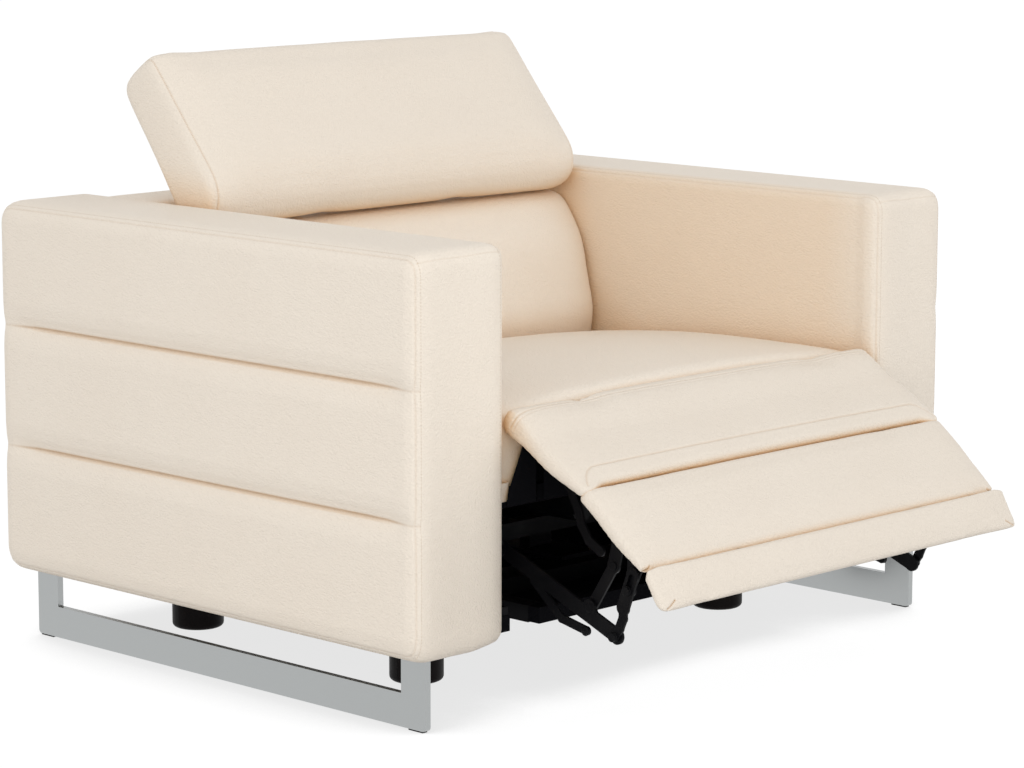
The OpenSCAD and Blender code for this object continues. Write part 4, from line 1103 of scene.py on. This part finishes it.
bpy.ops.object.join()
front_lining = bpy.context.object
front_lining.name = "seat_front_lining"
front_lining.data.materials.append(lining)
edit_mesh(front_lining, (bpy.ops.mesh.normals_make_consistent, {"inside": False}))
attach(front_lining, "carriage")
print(f"lining: {len(front_lining.data.polygons)} faces")

# %% [markdown]
# ## The footrest
#
# Three pads on three steel boards: a flap that carries on from the seat, the main pad for the calves, and
# a narrow toe pad. The flap's seams run through given points: one round its front corners, and one along
# its rear roll, with a line of topstitching in front of it.

# %% Flap
# The last number of each seam is how dark its painted crease shade is.
CORNER_LINE_SEAM = (0.0014, 0.0018, 0.26)
REAR_SEAM = (0.0011, 0.0015, 0.22)
TOPSTITCH_SEAM = (0.0007, 0.0012, 0.14)
TOPSTITCH_STEP = (0.0055, 0.003)
flap = stuffed("flap_pad", "flap_cover", 0.006, 3, 0.002, (0.002, 0.002, 0.006), under(FLAP_SLOPE), 24)
let_out(flap, ahead(FLAP_SLOPE), 0.002, 0.002)
co = points_of(flap)
corners = smooth_step((np.abs(co[:, 0]) - 0.350) / 0.035)
let_out(flap, ahead(FLAP_SLOPE), 0.010, fade=0.060, only=corners)
to_front = smooth_step((-0.010 - co[:, 1] - FRONT) / 0.080)
let_out(flap, under(FLAP_SLOPE), 0.010, fade=0.025, only=corners * to_front)
let_out(flap, (1, 0, 0), 0.005, 0.005, fade=0.030, only=to_front)
upper = smooth_step((co[:, 2] - 0.385) / 0.030)
let_out(flap, (0, 1, 0), 0.003, fade=0.040, only=upper)
let_out(flap, (0, 0, 1), 0.011, fade=0.030)
subdivide(flap)
corner = at((-354, -112.5, 366), (-366, -116, 362), (-375, -122, 356), (-382, -129, 346), (-386, -138, 334))
front_seam = corner[::-1] + [(-x, y, z) for x, y, z in corner]
rear_corner = at((-397, 3, 412), (-393, -2, 421), (-384, -5, 429), (-368, -6, 434), (-345, -5, 435),
                 (-300, -4, 435), (-150, -6, 433), (0, -8, 432))
rear_seam = rear_corner + [(-x, y, z) for x, y, z in rear_corner[-2::-1]]
topstitch = [(x, y - TOPSTITCH_STEP[0], z - TOPSTITCH_STEP[1]) for x, y, z in rear_seam]
sew(flap, [(front_seam, *CORNER_LINE_SEAM), (rear_seam, *REAR_SEAM), (topstitch, *TOPSTITCH_SEAM)])
place_cover(flap, "flap", "footrest_leather", footrest_hide, 0.8, "flap_pad")

# %% [markdown]
# The main pad's foot end is let out below, so that it rolls over the end of its board. Both it and the
# toe pad have a short dart at each lower corner, where the leather is folded over. A dart is a real fold,
# so it is pressed deeper than a seam and given darker painted shade.

# %% Main pad and toe pad
MAIN_DART = (0.0022, 0.0014, 0.9)
TOE_DART = (0.0020, 0.0014, 0.9)
calf = stuffed("main_pad", "calf_cover", 0.006, 3, 0.002, (0.002, 0.004, 0.006), under(MAIN_SLOPE), 24)
co = points_of(calf)
depth = co @ np.array(under(MAIN_SLOPE))
rolled = smooth_step((depth - depth.min()) / 0.030)
let_out(calf, ahead(MAIN_SLOPE), 0.0, 0.002)
let_out(calf, ahead(MAIN_SLOPE), 0.020, only=rolled)
sides = smooth_step((np.abs(co[:, 0]) - 0.355) / 0.035) * smooth_step((-0.140 - co[:, 1] - FRONT) / 0.080)
let_out(calf, under(MAIN_SLOPE), 0.009, fade=0.025, only=sides)
let_out(calf, (1, 0, 0), 0.004, 0.004, fade=0.030, only=sides)
subdivide(calf)
dart = at((-378, -243, 250), (-392, -252, 236))
sew(calf, [(line, *MAIN_DART) for line in both_sides(dart)])
place_cover(calf, "main_pad", "footrest_leather", footrest_hide, 0.8, "main_pad")

toe = stuffed("toe_pad", "toe_cover", 0.005, 3, 0.002, (0.002, 0.004, 0.004), under(TOE_SLOPE), 20)
let_out(toe, ahead(TOE_SLOPE), 0.002, 0.002)
let_out(toe, (1, 0, 0), 0.003, 0.003)
subdivide(toe)
dart = at((-372, -283, 209), (-388, -286, 200))
sew(toe, [(line, *TOE_DART) for line in both_sides(dart)])
place_cover(toe, "toe_pad", "footrest_leather", footrest_hide, 0.8, "toe_pad")

# %% [markdown]
# ## Leather that isn't stuffed
#
# The shell behind the back, the valance below it and the cheeks at the seat's front corners are leather
# over thin padding. The cheeks are made a little wider and higher, so that they meet the lining and the
# seat. None of them is blown up, because thin padding has nothing to swell with.

# %% Rear shell, valance, cheeks
CHEEK_WIDER, CHEEK_INNER = 0.018, 0.404
CHEEK_HIGHER, CHEEK_TOP = 0.012, 0.308
shell = foam_copy("rear_shell", "back_shell")
even_out(shell, "rear_shell", 0.007, 4)
place_cover(shell, "back", "back_leather", back_hide, 0.5, "rear_shell")

valance = foam_copy("rear_valance", "rear_apron")
even_out(valance, "rear_valance", 0.006, 2)
place_cover(valance, "base", "arm_leather", arm_hide, None, "rear_valance")

cheeks = foam_copy("seat_cheeks", "seat_corners")
even_out(cheeks, "seat_cheeks", 0.003, 2)
co = points_of(cheeks)
inner_edge = smooth_step((CHEEK_INNER - np.abs(co[:, 0])) / 0.006)
co[:, 0] -= np.sign(co[:, 0]) * CHEEK_WIDER * inner_edge
co[:, 2] += CHEEK_HIGHER * smooth_step((co[:, 2] - CHEEK_TOP) / 0.008)
move_points(cheeks, co)
place_cover(cheeks, "carriage", "seat_leather", seat_hide, None, "seat_cheeks")

# %% [markdown]
# ## Rivets
#
# The links turn on steel rivets. One head is modelled as a low disc with a rolled edge, and set on the
# outer face of the link at each pivot. That face is found on the link itself. The head that another link
# passes over lies deeper. A flattened sphere would do from afar, but a rolled edge catches the light as a
# real head does.

# %% Rivet heads
HEAD_RADIUS, HEAD_HIGH, HEAD_EDGE = 0.0068, 0.0030, 0.0009
LINK_REACH = 0.016
RIVETS = [  # body, link, the pivot's y and z, and how far the head's middle stands out
    ("long_links", "long_links", (-141, 129), 0.8), ("long_links", "long_links", (-89, 161), -0.8),
    ("upright_links", "upright_links", (-130, 226), 0.8), ("main_pad", "main_brackets", (-166, 198), 0.8),
    ("long_links", "long_links", (83, 220.3), 0.8),
]
bpy.ops.object.select_all(action="DESELECT")
bpy.ops.mesh.primitive_cylinder_add(vertices=28, radius=HEAD_RADIUS, depth=HEAD_HIGH, rotation=ALONG_X)
head = bpy.context.object
bpy.ops.object.transform_apply(location=True, rotation=True, scale=True)
change(head, "BEVEL", width=HEAD_EDGE, segments=2, limit_method="ANGLE")
head.data.materials.append(black_steel)
for body, link, (y, z), lift in RIVETS:
    co = points_of(nodes[link])
    spot = np.array([y * MM - FRONT, z * MM])
    close = co[np.linalg.norm(co[:, 1:] - spot, axis=1) < LINK_REACH]
    face = np.abs(close[:, 0]).max()
    for side, letter in ((-1, "m"), (1, "p")):
        rivet = bpy.data.objects.new(f"rivet_{link}_{abs(y):.0f}_{letter}1", head.data.copy())
        scene.collection.objects.link(rivet)
        move_points(rivet, points_of(head) + np.array([side * (face + lift * MM), *spot]))
        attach(rivet, body)
bpy.data.objects.remove(head)
print(f"{2 * len(RIVETS)} rivet heads")

# %% [markdown]
# ## Floor and light
#
# The floor is pale and even. To the camera it glows white, and where the chair stands over it, a painted
# shadow dims the glow to light grey. Ambient Occlusion says how much of the sky each place still sees, and
# so where that painted shadow falls; a faint dark diffuse part adds a little real shade on top. Chrome
# mirrors an even pale floor, and the light that bounces off it comes from a plain one. A brighter lamp
# would whiten the floor as well, but it would bleach the leather, so the white comes from the floor's own
# material and only the camera sees it.

# %% Floor
FLOOR_SIZE = 40.0
FLOOR_PLAIN, FLOOR_SHADED = (0.72, 0.72, 0.72), (0.05, 0.05, 0.05)
# How far the painted shadow under the chair reaches, and how it dims the floor's glow.
SHADOW_REACH = 0.30
SHADOW_FROM, SHADOW_TO = (0.42, 0.66), (0.777, 0.985)
MIRRORED_GLOW = 0.90
bpy.ops.object.select_all(action="DESELECT")
bpy.ops.mesh.primitive_grid_add(x_subdivisions=4, y_subdivisions=4, size=FLOOR_SIZE, location=(0, 0, 0))
floor = bpy.context.object
floor.name = "floor"
floor_material = bpy.data.materials.new("floor")
floor_material.use_nodes = True
tree = floor_material.node_tree
tree.nodes.remove(tree.nodes["Principled BSDF"])
plain = tree.nodes.new("ShaderNodeBsdfDiffuse")
feed(tree, plain.inputs["Color"], FLOOR_PLAIN)
shaded = tree.nodes.new("ShaderNodeBsdfDiffuse")
feed(tree, shaded.inputs["Color"], FLOOR_SHADED)
glow = tree.nodes.new("ShaderNodeEmission")
# Painted shadow: Ambient Occlusion dims the glow to light grey where the chair stands over the floor.
painted_shadow = tree.nodes.new("ShaderNodeAmbientOcclusion")
painted_shadow.samples = 16
painted_shadow.inputs["Distance"].default_value = SHADOW_REACH
tree.links.new(ranged(tree, painted_shadow.outputs["AO"], *SHADOW_FROM, *SHADOW_TO), glow.inputs["Strength"])
seen = tree.nodes.new("ShaderNodeAddShader")
tree.links.new(shaded.outputs[0], seen.inputs[0])
tree.links.new(glow.outputs[0], seen.inputs[1])
mirrored = tree.nodes.new("ShaderNodeEmission")
mirrored.inputs["Strength"].default_value = MIRRORED_GLOW
rays = tree.nodes.new("ShaderNodeLightPath")
indirect = math_node(tree, "MAXIMUM", rays.outputs["Is Glossy Ray"], rays.outputs["Is Transmission Ray"])
chosen = plain
for ray, look in ((indirect, mirrored), (rays.outputs["Is Camera Ray"], seen)):
    mix = tree.nodes.new("ShaderNodeMixShader")
    tree.links.new(ray, mix.inputs[0])
    tree.links.new(chosen.outputs[0], mix.inputs[1])
    tree.links.new(look.outputs[0], mix.inputs[2])
    chosen = mix
tree.links.new(chosen.outputs[0], tree.nodes["Material Output"].inputs["Surface"])
floor.data.materials.append(floor_material)

# %% [markdown]
# The world lights the chair from all round, as pale studio walls do, and more from the sides than from
# above. An image of a studio could do that too, but it would bring its own shapes into the chrome. Rays
# from the camera and from mirrors see plain white, so the background is white without more light on the
# chair.

# %% World
SKY_LOW, SKY_HIGH = 1.12, 0.62
world = bpy.data.worlds.new("studio")
scene.world = world
world.use_nodes = True
tree = world.node_tree
ambient = tree.nodes["Background"]
ambient.inputs["Color"].default_value = (1.0, 1.0, 1.0, 1)
upward = tree.nodes.new("ShaderNodeSeparateXYZ")
tree.links.new(tree.nodes.new("ShaderNodeTexCoord").outputs["Generated"], upward.inputs[0])
tree.links.new(ranged(tree, upward.outputs["Z"], 0.0, 1.0, SKY_LOW, SKY_HIGH), ambient.inputs["Strength"])
white = tree.nodes.new("ShaderNodeBackground")
white.inputs["Strength"].default_value = 1.0
rays = tree.nodes.new("ShaderNodeLightPath")
direct = math_node(tree, "MAXIMUM", rays.outputs["Is Camera Ray"], rays.outputs["Is Glossy Ray"])
direct = math_node(tree, "MAXIMUM", direct, rays.outputs["Is Transmission Ray"])
chosen = tree.nodes.new("ShaderNodeMixShader")
tree.links.new(direct, chosen.inputs[0])
tree.links.new(ambient.outputs[0], chosen.inputs[1])
tree.links.new(white.outputs[0], chosen.inputs[2])
tree.links.new(chosen.outputs[0], tree.nodes["World Output"].inputs["Surface"])


# %% [markdown]
# Two large soft boxes stand in front of the chair, a strong one near the camera and a weaker one further
# to the right and higher up. A sun lamp would throw hard shadows, and the picture has none.

# %% Lamps
def lamp(name, place, aim, size, watts):
    """A square soft box that looks at a point."""
    data = bpy.data.lights.new(name, "AREA")
    data.size = size
    data.energy = watts
    light = bpy.data.objects.new(name, data)
    scene.collection.objects.link(light)
    light.location = place
    light.rotation_euler = (Vector(aim) - Vector(place)).to_track_quat("-Z", "Y").to_euler()
    return light


MIDDLE = (0, 0, 0.4)
lamp("key", (-3.3, -3.0, 1.8), MIDDLE, 4.0, 55)
lamp("fill", (1.6, -3.6, 2.8), MIDDLE, 4.0, 19)
print("floor, world and two lamps")

# %% [markdown]
# ## Colour management
#
# The Standard view keeps colours about as they are written.

# %% Finish
scene.view_settings.view_transform = "Standard"
